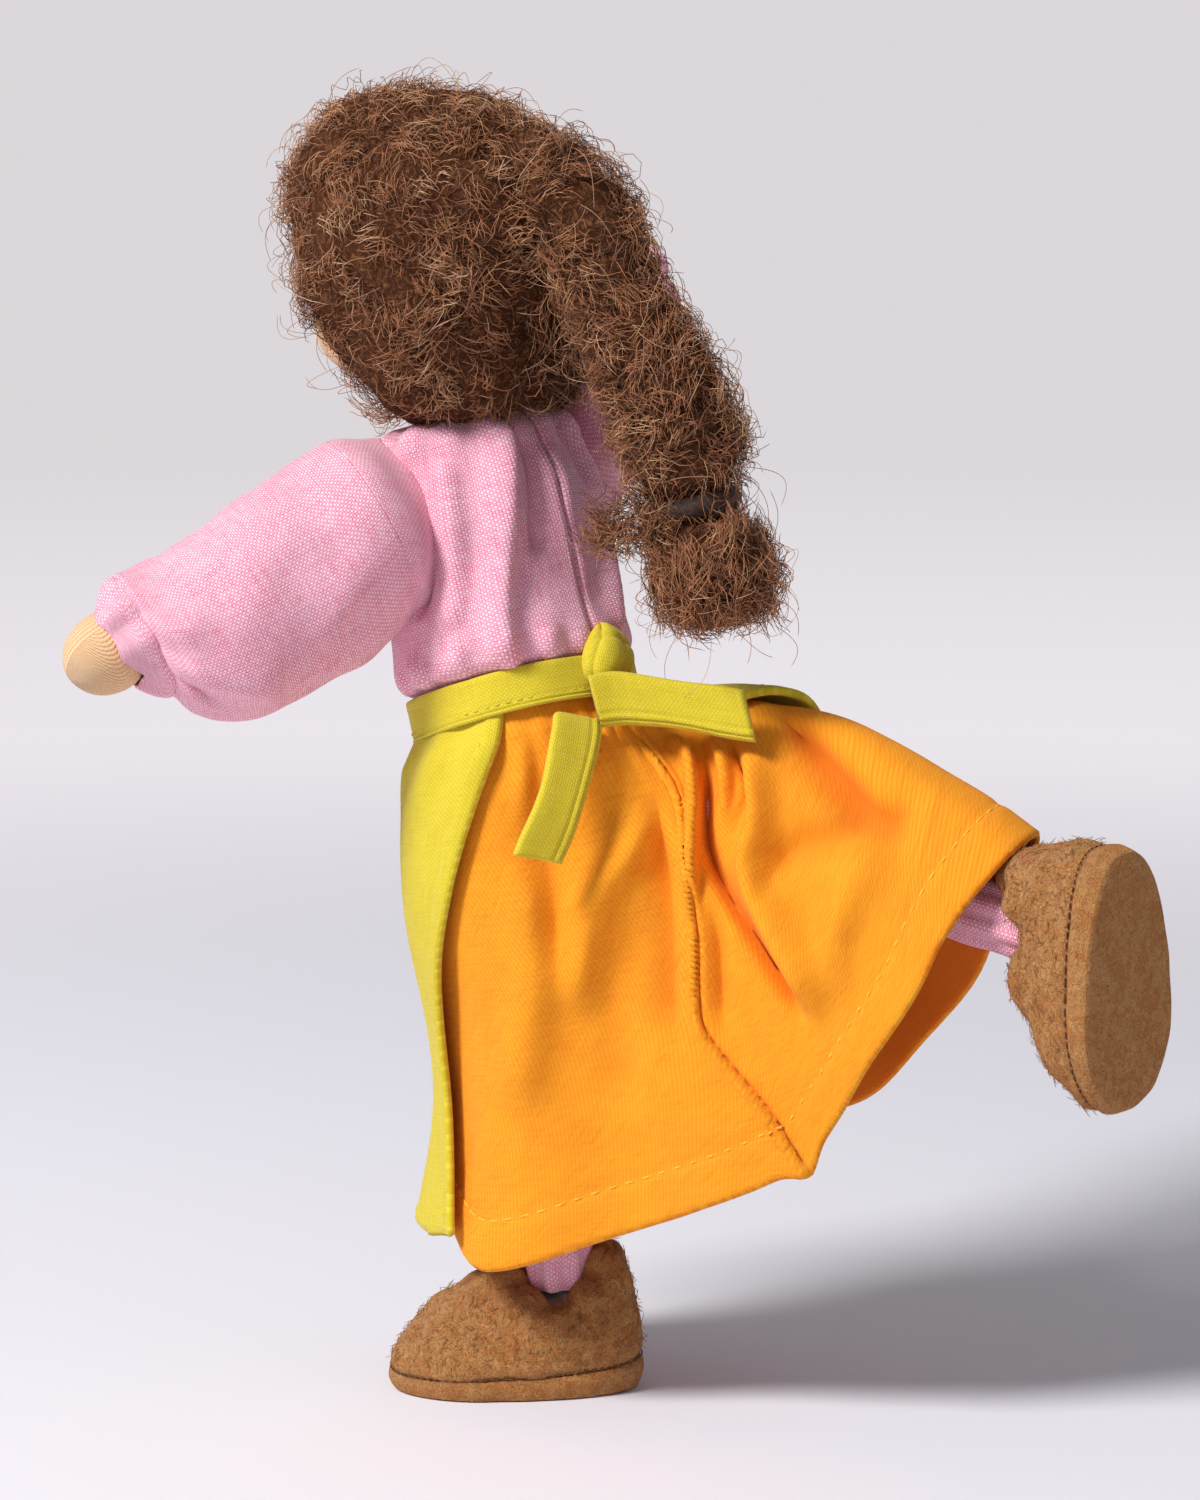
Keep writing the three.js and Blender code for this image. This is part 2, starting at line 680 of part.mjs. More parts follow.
// The tail of hair swings out behind the head, is tied, and ends in a tuft
const TAIL_LINE_SHARES = [
  // to the left, back and up from the middle of the head, as shares of the tail's length
  [-0.03, 0.2, 0.2],
  [-0.07, 0.33, 0.12],
  [-0.09, 0.47, -0.09],
  [-0.14, 0.58, -0.33],
  [-0.165, 0.63, -0.53],
  [-0.185, 0.645, -0.65],
  [-0.2, 0.655, -0.76],
];
const TAIL_GIRTH_SHARES = [0.8, 0.98, 1, 0.96, 1.02, 1, 0.94, 0.8];
const TUFT_GIRTH_SHARES = [0.6, 0.92, 1, 0.86];
const TIE_SHARE = 0.76; // place of the tie along the tail

const tailLine = new THREE.CatmullRomCurve3(
  TAIL_LINE_SHARES.map(([left, back, up]) =>
    new THREE.Vector3(left, back, up).multiplyScalar(TAIL_LENGTH).add(headCentre),
  ),
);

function curls(angle, share) {
  const loose = Math.min(1, 12 * Math.abs(share - TIE_SHARE));
  return HAIR_CURL * loose * Math.sin(3 * angle + 25 * share);
}

const halfGapShare = GAP / 2 / tailLine.getLength();
const tailRadii = [...TAIL_GIRTH_SHARES.map((s) => s * TAIL_RADIUS), TAIL_PINCH];
const tuftRadii = [TAIL_PINCH, ...TUFT_GIRTH_SHARES.map((s) => s * TUFT_RADIUS)];
const hairTail = body();
const tailRings = ringsAlong(tailLine, 0, TIE_SHARE - halfGapShare, tailRadii, TAIL_SIDES, curls);
const tuftRings = ringsAlong(tailLine, TIE_SHARE + halfGapShare, 1, tuftRadii, TAIL_SIDES, curls);
piece(
  hairTail,
  "ponytail",
  cut(loft(tailRings), placed(hairCap(GAP), headCentre, headTurn)),
  mohair,
);
piece(hairTail, "ponytail_tuft", loft(tuftRings), mohair);
const tieRing = new THREE.TorusGeometry(
  TAIL_PINCH + 2 * GAP + TIE_THICKNESS,
  TIE_THICKNESS,
  6,
  TAIL_SIDES,
);
piece(
  body(tailLine.getPointAt(TIE_SHARE), facing(tailLine.getTangentAt(TIE_SHARE))),
  "hair_tie",
  outwards(tieRing),
  darkThread,
);

// Blouse

// Shares of the torso's length, then of the blouse's half width and half depth.
const BLOUSE_SHARES = [
  [-0.03, 0.76, 0.86],
  [0.075, 0.77, 0.87],
  [0.13, 1, 1.03],
  [0.3, 1, 1],
  [0.52, 0.97, 0.98],
  [0.72, 0.95, 0.93],
  [0.86, 0.84, 0.8],
  [0.95, 0.62, 0.64],
  [1, 0.5, 0.55],
];

function blouseRings(depth) {
  return BLOUSE_SHARES.map(([share, width, deep]) => {
    const free = Math.sin(Math.PI * THREE.MathUtils.clamp(share, 0, 1));
    const pleat = (angle) => BLOUSE_PLEAT * free * Math.sin(BLOUSE_PLEATS * angle);
    const halfWidth = BLOUSE_HALF_WIDTH * width - depth;
    const halfDepth = BLOUSE_HALF_DEPTH * deep - depth;
    return torsoRing(share, halfWidth, halfDepth, BLOUSE_SIDES, pleat);
  });
}

// Shares of the way from the sleeve's seam to the wrist, then of its girth and of its sag.
const SLEEVE_SHARES = [
  [-0.28, 0.86, 0.75],
  [-0.14, 0.94, 0.72],
  [0, 0.99, 0.7],
  [0.22, 1.02, 0.95],
  [0.45, 1, 1],
  [0.66, 0.95, 1],
  [0.82, 0.85, 0.85],
  [0.93, 0.72, 0.5],
  [1, CUFF_RADIUS / SLEEVE_RADIUS, 0.1],
];
const SLEEVE_SEAM_RING = 2; // the ring at the seam

function sleeveRings(shoulder, way, depth) {
  const length = UPPER_ARM_LENGTH + FOREARM_LENGTH - SLEEVE_SEAM - LIMB_TIP;
  const turn = facing(way);
  return SLEEVE_SHARES.map(([share, girth, sag]) => {
    const centre = along(shoulder, way, SLEEVE_SEAM + share * length);
    centre.addScaledVector(Z, -SLEEVE_SAG * sag);
    return Array.from({ length: SLEEVE_SIDES }, (_, k) => {
      const angle = (2 * Math.PI * k) / SLEEVE_SIDES;
      const pleat = SLEEVE_PLEAT * Math.sin(SLEEVE_PLEATS * angle) * Math.max(0, share);
      const radius = SLEEVE_RADIUS * girth + pleat - depth;
      return new THREE.Vector3(radius * Math.cos(angle), radius * Math.sin(angle), 0)
        .applyQuaternion(turn)
        .add(centre);
    });
  });
}

// The rings of a sleeve's shoulder cloth, short of its seam with the full sleeve by half a gap.
function shoulderRings(shoulder, way, depth) {
  const rings = sleeveRings(shoulder, way, depth).slice(0, SLEEVE_SEAM_RING + 1);
  rings.at(-1).forEach((p) => p.addScaledVector(way, -GAP / 2));
  return rings;
}

function fullSleeveRings(shoulder, way, depth) {
  const rings = sleeveRings(shoulder, way, depth).slice(SLEEVE_SEAM_RING);
  rings[0].forEach((p) => p.addScaledVector(way, GAP / 2));
  return rings;
}

// The room that a sleeve takes in the blouse.
function armhole(shoulder, way) {
  return sleeveRings(shoulder, way, -GAP).slice(0, SLEEVE_SEAM_RING + 2);
}

const arms = [
  ["left", leftShoulder, leftArm],
  ["right", rightShoulder, rightArm],
];
const hairRoom = placed(hairCap(GAP), headCentre, headTurn);

piece(
  torso,
  "blouse",
  cut(
    loft(blouseRings(0)),
    loft(blouseRings(CLOTH).map((ring, i, all) => overrun(ring, i, all.length))),
    ...arms.map(([, shoulder, way]) => loft(armhole(shoulder, way))),
  ),
  pinkCotton,
);

// The first and last rings of a cutter, moved out along the torso past what it cuts.
function overrun(ring, i, count) {
  const move = i === 0 ? -OVERRUN : i === count - 1 ? OVERRUN : 0;
  return ring.map((p) => along(p, torsoUp, move));
}

arms.forEach(([side, shoulder, way]) => {
  const cloth = wall(shoulderRings(shoulder, way, 0), shoulderRings(shoulder, way, CLOTH));
  const chest = loft(
    CORE_SHARES.map(([share, width, depth]) =>
      torsoRing(
        share,
        CORE_HALF_WIDTH * width + GAP,
        CORE_HALF_DEPTH * depth + GAP,
        CORE_SIDES,
      ),
    ),
  );
  const shoulderCloth = cut(cloth, loft(blouseRings(-GAP)), chest, hairRoom);
  piece(torso, "blouse_" + side + "_shoulder", shoulderCloth, pinkCotton);
  const sleeve = wall(fullSleeveRings(shoulder, way, 0), fullSleeveRings(shoulder, way, CLOTH));
  piece(doll, side + "_sleeve", cut(sleeve, hairRoom), pinkCotton);
  const wrist = along(shoulder, way, UPPER_ARM_LENGTH + FOREARM_LENGTH - LIMB_TIP);
  wrist.addScaledVector(Z, -SLEEVE_SAG * SLEEVE_SHARES.at(-1)[2]);
  const cuff = body(wrist, facing(way));
  const thread = new THREE.TorusGeometry(CUFF_RADIUS - CLOTH, THREAD_RADIUS, 4, SLEEVE_SIDES);
  piece(cuff, side + "_cuff_thread", outwards(thread.translate(0, 0, GAP + THREAD_RADIUS)), pinkCotton);
  const frillFrom = 2 * (GAP + THREAD_RADIUS);
  const frill = [
    [CUFF_RADIUS - CLOTH, frillFrom],
    [FRILL_RADIUS, frillFrom + FRILL_LENGTH / 2],
    [CUFF_RADIUS, frillFrom + FRILL_LENGTH],
  ];
  const hem = frill.toReversed().map(([radius, height]) => [radius - CLOTH, height]);
  piece(cuff, side + "_cuff", turned([...frill, ...hem, frill[0]], SLEEVE_SIDES), pinkCotton);
});

// Drawers

function seat(depth) {
  const shell = ellipsoid(SEAT_HALF_WIDTH - depth, SEAT_HALF_DEPTH - depth, SEAT_DEPTH - depth, CORE_SIDES);
  return placed(shell, waist, pelvisTurn);
}

function drawersLeg(hip, knee, from, to, radius) {
  const tube = new THREE.CylinderGeometry(radius, radius, to - from, DRAWERS_SIDES);
  tube.rotateX(Math.PI / 2).translate(0, 0, (to + from) / 2);
  return placed(outwards(tube), hip, facing(knee.clone().sub(hip)));
}

const legs = [
  ["left", leftHip, leftKnee],
  ["right", rightHip, rightKnee],
];
const seatTop = outwards(new THREE.BoxGeometry(4 * BAND_RADIUS, 4 * BAND_RADIUS, SEAT_DEPTH));
seatTop.translate(0, 0, SEAT_DEPTH / 2 - BAND_HEIGHT);

piece(
  torso,
  "drawers_seat",
  cut(
    seat(0),
    seat(CLOTH),
    placed(seatTop, waist, pelvisTurn),
    ...legs.map(([, hip, knee]) => drawersLeg(hip, knee, 0, SHIN_LENGTH, DRAWERS_LEG_RADIUS + GAP)),
  ),
  pinkCotton,
);

const legLength = THIGH_LENGTH + SHIN_LENGTH + DRAWERS_PAST_ANKLE;
legs.forEach(([side, hip, knee]) => {
  const inner = DRAWERS_LEG_RADIUS - CLOTH;
  const leg = turned(
    [
      [DRAWERS_LEG_RADIUS, DRAWERS_TOP],
      [DRAWERS_LEG_RADIUS, THIGH_LENGTH / 2],
      [DRAWERS_LEG_RADIUS, THIGH_LENGTH],
      [DRAWERS_LEG_RADIUS, THIGH_LENGTH + SHIN_LENGTH / 2],
      [DRAWERS_LEG_RADIUS, legLength],
      [inner, legLength],
      [inner, DRAWERS_TOP],
      [DRAWERS_LEG_RADIUS, DRAWERS_TOP],
    ],
    DRAWERS_SIDES,
  );
  piece(body(hip, facing(knee.clone().sub(hip))), side + "_drawers_leg", leg, pinkCotton);
});

// Skirt

// Points of the hem, round from the back seam by the doll's left, as shares of the skirt's length:
// to the left, back and up from the waist.
const HEM_SHARES = [
  [-0.083, 0.648, -0.75],
  [0.011, 0.472, -0.859],
  [0.091, 0.307, -0.93],
  [0.209, 0.107, -1.002],
  [0.19, -0.04, -0.98],
  [0.13, -0.14, -0.97],
  [0.03, -0.215, -0.975],
  [-0.09, -0.21, -0.975],
  [-0.21, -0.12, -0.96],
  [-0.3, 0.04, -0.92],
  [-0.345, 0.22, -0.87],
  [-0.365, 0.407, -0.785],
  [-0.411, 0.596, -0.609],
  [-0.433, 0.75, -0.422],
  [-0.417, 0.86, -0.2],
  [-0.32, 0.9, -0.21],
  [-0.237, 0.865, -0.32],
  [-0.198, 0.843, -0.38],
  [-0.128, 0.765, -0.557],
];

const hemCurve = new THREE.CatmullRomCurve3(
  HEM_SHARES.map((shares) => new THREE.Vector3(...shares).multiplyScalar(SKIRT_LENGTH)),
  true,
);

const skirtTop = -BAND_HEIGHT / 2 - 2 * GAP; // along the pelvis, from the waist

// How near a share of the way round is to another, from 1 at it to 0 a reach away.
function nearness(share, to, reach) {
  const away = Math.abs(((((share - to) % 1) + 1.5) % 1) - 0.5);
  return THREE.MathUtils.smoothstep(reach - away, 0, reach);
}

function skirtMiddle(share, drop) {
  const round = ((share % 1) + 1) % 1;
  const angle = 2 * Math.PI * round;
  const radius = BAND_RADIUS - BAND_CLOTH;
  const top = new THREE.Vector3(radius * Math.sin(angle), radius * Math.cos(angle), skirtTop);
  top.applyQuaternion(pelvisTurn).add(waist);
  const hem = hemCurve.getPointAt(round).add(waist);
  const out = new THREE.Vector3(Math.sin(angle), Math.cos(angle), 0);
  const bulge = SKIRT_BULGE * nearness(round, KNEE_SHARE, 1 / 3) * Math.sin(2 * Math.PI * drop);
  const fold = SKIRT_FOLD * Math.sin(2 * Math.PI * SKIRT_FOLDS * round) * drop;
  const lift = SKIRT_LIFT * nearness(round, RIDGE_SHARE, 1 / 6) * Math.sin(Math.PI * drop);
  return top.lerp(hem, drop).addScaledVector(out, bulge + fold).addScaledVector(Z, lift);
}

// A point of the skirt, moved outwards from the middle of its cloth.
function skirtAt(share, drop, out) {
  const step = 1 / SKIRT_COLUMNS / 2;
  const round = skirtMiddle(share + step, drop).sub(skirtMiddle(share - step, drop));
  const down = skirtMiddle(share, Math.min(1, drop + step));
  down.sub(skirtMiddle(share, Math.max(0, drop - step)));
  return along(skirtMiddle(share, drop), round.cross(down).normalize(), out);
}

// Grids over the outside and the inside of a panel of cloth, between edges given at the waist and
// at the hem as shares of the way round.
function panel(waistEdges, hemEdges, length, columns, inside, cloth) {
  return [inside + cloth, inside].map((out) =>
    Array.from({ length: SKIRT_ROWS + 1 }, (_, i) => {
      const drop = Math.min(length, i / SKIRT_ROWS);
      const from = THREE.MathUtils.lerp(waistEdges[0], hemEdges[0], drop);
      const to = THREE.MathUtils.lerp(waistEdges[1], hemEdges[1], drop);
      return Array.from({ length: columns + 1 }, (_, j) =>
        skirtAt(from + ((to - from) * j) / columns, drop, out),
      );
    }),
  );
}

const halfCloth = SKIRT_CLOTH / 2;
const halfColumns = SKIRT_COLUMNS / 2;
const SEAM_SHARE = 0.0012; // half the gap at a seam, as a share of the way round
[
  ["skirt_left", SEAM_SHARE, 0.5 - SEAM_SHARE],
  ["skirt_right", 0.5 + SEAM_SHARE, 1 - SEAM_SHARE],
].forEach(([name, ...edges]) => {
  const cloth = panel(edges, edges, 1, halfColumns, -halfCloth, SKIRT_CLOTH);
  piece(torso, name, sheet(...cloth), orangeCotton);
});

// The room that the skirt takes, with its gap all round.
function skirtRoom(from, to) {
  const edges = [from, to];
  const depth = SKIRT_CLOTH + 2 * GAP;
  return sheet(...panel(edges, edges, 1, halfColumns, -depth / 2, depth));
}

const apronCloth = panel(
  APRON_EDGES,
  APRON_HEM,
  APRON_LENGTH_SHARE,
  APRON_COLUMNS,
  halfCloth + APRON_LIFT,
  APRON_CLOTH,
);
const bandRoom = new THREE.CylinderGeometry(
  BAND_RADIUS + GAP,
  BAND_RADIUS + GAP,
  BAND_HEIGHT + 2 * GAP,
  BAND_SIDES,
);
bandRoom.rotateX(Math.PI / 2);
piece(
  torso,
  "apron",
  cut(
    sheet(...apronCloth),
    skirtRoom(0, 0.5),
    skirtRoom(0.5, 1),
    placed(outwards(bandRoom), waist, pelvisTurn),
  ),
  yellowCotton,
);

// Bands round the waist, knotted at the back
const waistBand = body(waist, pelvisTurn);

function bandRing(radius, cloth, height) {
  const half = height / 2;
  return turned(
    [
      [radius, -half],
      [radius, half],
      [radius - cloth, half],
      [radius - cloth, -half],
      [radius, -half],
    ],
    BAND_SIDES,
  );
}

piece(waistBand, "apron_band", bandRing(BAND_RADIUS, BAND_CLOTH, BAND_HEIGHT), yellowCotton);

piece(
  waistBand,
  "skirt_band",
  bandRing(BAND_RADIUS - BAND_CLOTH - GAP, BAND_CLOTH / 2, BAND_HEIGHT - 2 * GAP),
  orangeCotton,
);

const knotPlace = new THREE.Vector3(0, BAND_RADIUS + KNOT_HALF_DEPTH / 2, KNOT_RISE);
const knot = ellipsoid(KNOT_HALF_WIDTH, KNOT_HALF_DEPTH, KNOT_HALF_HEIGHT, CORE_SIDES);
piece(
  waistBand,
  "apron_knot",
  cut(placed(knot, knotPlace, new THREE.Quaternion()), outwards(bandRoom)),
  yellowCotton,
);

// A free end of the tie: its line is given from the waist, and its width runs across it.
function tieEnd(shares, across, grow = 0) {
  const line = new THREE.CatmullRomCurve3(
    shares.map((share) => new THREE.Vector3(...share).multiplyScalar(TIE_LENGTH).add(waist)),
  );
  const wide = new THREE.Vector3(...across).normalize().multiplyScalar(TIE_WIDTH / 2 + grow);
  const grids = [1, -1].map((side) =>
    line.getSpacedPoints(TIE_ROWS).map((p, i) => {
      const normal = line.getTangentAt(i / TIE_ROWS).cross(wide).normalize();
      const out = side * (TIE_CLOTH / 2 + grow);
      return [-1, 0, 1].map((edge) => along(along(p, wide, edge), normal, out));
    }),
  );
  return sheet(...grids);
}

const knotRoom = placed(
  ellipsoid(KNOT_HALF_WIDTH + GAP, KNOT_HALF_DEPTH + GAP, KNOT_HALF_HEIGHT + GAP, CORE_SIDES),
  knotPlace.clone().applyQuaternion(pelvisTurn).add(waist),
  pelvisTurn,
);
const sideEnd = [TIE_SIDE_SHARES, TIE_SIDE_WIDTH_SHARES];
const dropEnd = [TIE_DROP_SHARES, TIE_DROP_WIDTH_SHARES];
piece(torso, "tie_end_side", cut(tieEnd(...sideEnd), knotRoom), yellowCotton);
piece(torso, "tie_end_drop", cut(tieEnd(...dropEnd), knotRoom, tieEnd(...sideEnd, GAP)), yellowCotton);

// Shoes: in a shoe's own frame the toe points along +Y and the sole lies on z = 0

// A ring round the foot, part of the way from the sole to the collar; inset moves it inwards.
function shoeRing(rise, inset, collarInset) {
  return Array.from({ length: SHOE_SIDES }, (_, k) => {
    const angle = (2 * Math.PI * k) / SHOE_SIDES;
    const toe = Math.cos(angle);
    const heel = (1 - toe) / 2;
    const sharp = 1.35 + 0.45 * heel;
    const inwards = 1 - Math.cos((rise * Math.PI) / 2) ** (2 / sharp);
    const upwards = Math.sin((rise * Math.PI) / 2) ** (2 / sharp);
    const width = (SHOE_HALF_WIDTH - inset) * (1 + TOE_SPREAD_SHARE * toe);
    const footprint = new THREE.Vector2(width * Math.sin(angle), (SHOE_LENGTH / 2 - inset) * toe);
    const collar = new THREE.Vector2(
      (COLLAR_HALF_WIDTH - collarInset) * Math.sin(angle),
      (COLLAR_HALF_LENGTH - collarInset) * toe - COLLAR_BACK,
    );
    const seam = SOLE_THICKNESS + GAP + SOLE_HEEL_RISE * heel ** 2;
    const front = Math.max(0, toe) ** 2;
    const back = Math.max(0, -toe) ** 2;
    const top = COLLAR_HEIGHT + COLLAR_FRONT_RISE * front + COLLAR_HEEL_RISE * back;
    const flat = footprint.lerp(collar, inwards);
    return new THREE.Vector3(flat.x, flat.y, seam + (top - seam) * upwards);
  });
}

function shoeRings(inset, collarInset, last = 1) {
  const rise = (i) => (last * i) / SHOE_ROWS;
  return Array.from({ length: SHOE_ROWS + 1 }, (_, i) => shoeRing(rise(i), inset, collarInset));
}

// Shares of the sole's outline and of its thickness at the side.
const SOLE_SHARES = [
  [0.9, 0],
  [0.98, 0.3],
  [1, 0.7],
];

function soleGeometry() {
  const top = shoeRing(0, 0, 0).map((p) => p.setZ(p.z - GAP));
  const rings = SOLE_SHARES.map(([size, height]) =>
    top.map((p) => new THREE.Vector3(p.x * size, p.y * size, p.z * height)),
  );
  return loft([...rings, top]);
}

// The foot fills the shoe up to the ankle.
function footGeometry() {
  const inset = SHOE_FELT + FOOT_CLEARANCE;
  const rings = shoeRings(inset, COLLAR_HALF_WIDTH - ANKLE_WOOL_RADIUS, FOOT_SHARE);
  return loft(rings.map((ring) => ring.map((p) => p.setZ(Math.min(p.z + GAP, INSTEP_HEIGHT)))));
}

const soleMiddle = new THREE.Vector3();
const kickedSole = direction(KICKED_SOLE_HEADING, 0);
const kickedToe = Z.clone().applyAxisAngle(kickedSole, radians(180 + KICKED_TOE_OUT));
const kickedMiddle = along(along(rightAnkle, kickedSole, ANKLE_HEIGHT), kickedToe, ANKLE_BACK);
[
  ["left", soleMiddle, Z, standingToe],
  ["right", kickedMiddle, kickedSole.clone().negate(), kickedToe],
].forEach(([side, middle, up, toe]) => {
  const shoe = body(middle, facing(up, toe.clone().cross(up)));
  piece(shoe, side + "_shoe_sole", soleGeometry(), brownFelt);
  piece(shoe, side + "_shoe", wall(shoeRings(0, 0), shoeRings(SHOE_FELT, SHOE_FELT)), brownFelt);
  piece(shoe, side + "_foot", footGeometry(), wool);
});

export default doll;
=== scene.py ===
"""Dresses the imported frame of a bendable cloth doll: cotton clothes, felt shoes and mohair hair.

It is laid out as an add-on and run as a script. Shapes are worked out in millimetres in the frame's
own axes, the doll facing -Y with its left at +X, and each mesh is written in metres.
"""

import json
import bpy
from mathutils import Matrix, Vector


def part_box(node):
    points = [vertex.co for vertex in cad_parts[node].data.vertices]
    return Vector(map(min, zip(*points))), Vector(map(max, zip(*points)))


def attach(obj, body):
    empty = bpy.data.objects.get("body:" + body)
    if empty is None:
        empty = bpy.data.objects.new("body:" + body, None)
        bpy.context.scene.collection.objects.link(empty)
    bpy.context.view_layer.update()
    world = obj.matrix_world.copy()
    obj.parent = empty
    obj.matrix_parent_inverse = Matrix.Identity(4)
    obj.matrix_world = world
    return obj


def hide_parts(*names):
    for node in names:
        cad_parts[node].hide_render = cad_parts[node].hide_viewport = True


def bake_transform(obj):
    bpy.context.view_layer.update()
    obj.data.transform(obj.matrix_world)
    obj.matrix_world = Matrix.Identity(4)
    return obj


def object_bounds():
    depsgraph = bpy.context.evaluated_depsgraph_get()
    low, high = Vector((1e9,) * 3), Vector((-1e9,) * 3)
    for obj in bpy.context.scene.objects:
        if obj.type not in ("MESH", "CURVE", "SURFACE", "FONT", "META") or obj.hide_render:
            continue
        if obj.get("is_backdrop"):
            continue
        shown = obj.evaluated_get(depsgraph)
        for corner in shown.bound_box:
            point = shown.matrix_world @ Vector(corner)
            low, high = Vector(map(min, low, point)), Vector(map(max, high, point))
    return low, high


bl_info = {
    "name": "Dancing Cloth Doll",
    "version": (1, 0, 0),
    "blender": (4, 5, 0),
    "location": "View3D > Sidebar > Doll",
    "description": "Dresses a wire-framed doll in cotton, felt and mohair",
    "category": "Object",
}

import bpy
import numpy as np
from bpy.props import FloatProperty, FloatVectorProperty, IntProperty, PointerProperty
from mathutils import Matrix, Quaternion, Vector

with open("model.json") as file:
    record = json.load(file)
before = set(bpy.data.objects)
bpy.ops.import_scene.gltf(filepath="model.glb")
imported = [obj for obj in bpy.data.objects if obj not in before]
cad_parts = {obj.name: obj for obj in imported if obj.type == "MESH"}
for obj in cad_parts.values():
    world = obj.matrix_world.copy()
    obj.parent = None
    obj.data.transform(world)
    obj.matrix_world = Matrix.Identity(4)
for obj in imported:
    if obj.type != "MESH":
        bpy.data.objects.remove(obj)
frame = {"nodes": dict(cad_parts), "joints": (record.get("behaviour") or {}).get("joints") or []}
CAD_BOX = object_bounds()

MM = 0.001
TURN = 2 * np.pi
SIDES = ("left", "right")
X, Y, Z = np.eye(3)


# Directions and lines


def unit(v):
    """Each vector over its own length."""
    return v / np.maximum(np.linalg.norm(v, axis=-1, keepdims=True), 1e-9)


def smooth(x, low, high):
    """0 below low, 1 above high, and 3t2 - 2t3 between them."""
    t = np.clip((np.asarray(x, float) - low) / (high - low), 0, 1)
    return t * t * (3 - 2 * t)


def bell(x, width):
    """exp(-(x / width)2), with a width of its own on each side where two are given."""
    low, high = width if np.ndim(width) else (width, width)
    return np.exp(-((x / np.where(x < 0, low, high)) ** 2))


def basis(up, side=X):
    """A turn whose columns are x, y, z: z along up, and x as near side as it can be."""
    z = unit(np.asarray(up, float))
    y = unit(np.cross(z, np.broadcast_to(np.asarray(side, float), z.shape)))
    return np.stack([np.cross(y, z), y, z], -1)


def circle(count):
    """The angles of equal steps once round."""
    return np.arange(count) * TURN / count


def spokes(turn, angle):
    """Directions at angles from a turn's own x towards its own y."""
    return np.cos(angle)[..., None] * turn[..., 0] + np.sin(angle)[..., None] * turn[..., 1]


def placed(points, place):
    """Points given in a place's own axes, in the doll's. A place is a turn and its origin."""
    turn, origin = place
    return points @ turn.T + origin


def from_back(radius, angle, height):
    """Points round an upright axis, at angles from the back by the left."""
    return np.stack(np.broadcast_arrays(radius * np.sin(angle), radius * np.cos(angle), height), -1)


def smooth_line(knots, closed=False, fine=600):
    """Centripetal Catmull-Rom curve through the knots: its points, and the length up to each."""
    k = np.asarray(knots, float)
    n = len(k)
    if closed:
        ext = k[np.arange(-1, n + 2) % n]
    else:
        ext = np.vstack([2 * k[0] - k[1], k, 2 * k[-1] - k[-2]])
    t = np.linspace(0, 1, max(4, fine // n), endpoint=False)[:, None]
    parts = []
    for p0, p1, p2, p3 in zip(ext, ext[1:], ext[2:], ext[3:]):
        d0, d1, d2 = (max(np.sum(v * v), 1e-12) ** 0.25 for v in (p1 - p0, p2 - p1, p3 - p2))
        m1 = ((p1 - p0) / d0 - (p2 - p0) / (d0 + d1) + (p2 - p1) / d1) * d1
        m2 = ((p2 - p1) / d1 - (p3 - p1) / (d1 + d2) + (p3 - p2) / d2) * d1
        parts.append(
            p1 + m1 * t + (-3 * p1 + 3 * p2 - 2 * m1 - m2) * t**2 + (2 * p1 - 2 * p2 + m1 + m2) * t**3
        )
    line = np.vstack([*parts, (k[0] if closed else k[-1])[None]])
    return line, np.r_[0, np.cumsum(np.linalg.norm(np.diff(line, axis=0), axis=1))]


def at(line, share):
    """The points at shares of a line's length."""
    points, length = line
    s = np.asarray(share, float) * length[-1]
    return np.stack([np.interp(s, length, column) for column in points.T], -1)


def heading_at(line, share):
    """The direction of a line at shares of its length."""
    return unit(at(line, np.clip(share + 0.004, 0, 1)) - at(line, np.clip(share - 0.004, 0, 1)))


def table(x, rows):
    """A table's second and later columns at x, smoothly through its rows."""
    line = smooth_line(rows, fine=400)[0]
    return [np.interp(x, line[:, 0], column) for column in line.T[1:]]


def ripple(points, size, seed, waves=7):
    """Soft unevenness from -1 to 1: a mean of sines along random directions, size mm from crest to crest."""
    rng = np.random.default_rng(seed)
    ways = unit(rng.normal(size=(waves, 3))) * rng.uniform(0.7, 1.4, (waves, 1))
    return np.sin(points @ ways.T * TURN / size + rng.uniform(0, TURN, waves)).mean(-1) * 1.8


def nearness(share, to, reach):
    """1 at a share of the way round, falling to 0 a reach away from it."""
    return smooth(reach - np.abs((share - to + 0.5) % 1 - 0.5), 0, reach)


def fold(flat, path, height, widths, fade=2.5):
    """A ridge along a path on flat cloth, or a valley where its height is below 0.

    Its height falls as exp(-(d / w)2) with the distance d from the path, with a width w of its own on
    each side, and it fades at both ends. For a path that runs down the cloth the first width is on the
    side of larger x."""
    line, length = smooth_line(path, fine=32)
    reach = 2.5 * max(widths)
    close = np.all((flat > line.min(0) - reach) & (flat < line.max(0) + reach), -1)
    start, step = line[:-1], np.diff(line, axis=0)
    size = np.linalg.norm(step, axis=1)
    gap = flat[close][:, None] - start
    share = np.clip((gap * step).sum(-1) / size**2, 0, 1)
    gap = gap - step * share[..., None]
    away = np.linalg.norm(gap, axis=-1)
    nearest = np.arange(len(away)), away.argmin(-1)
    side = (step[:, 0] * gap[..., 1] - step[:, 1] * gap[..., 0])[nearest]
    along = (length[:-1] + share * size)[nearest]
    ends = smooth(along, 0, fade) * smooth(length[-1] - along, 0, fade)
    relief = np.zeros(flat.shape[:2])
    relief[close] = height * ends * np.exp(-((away[nearest] / np.where(side < 0, *widths)) ** 2))
    return relief


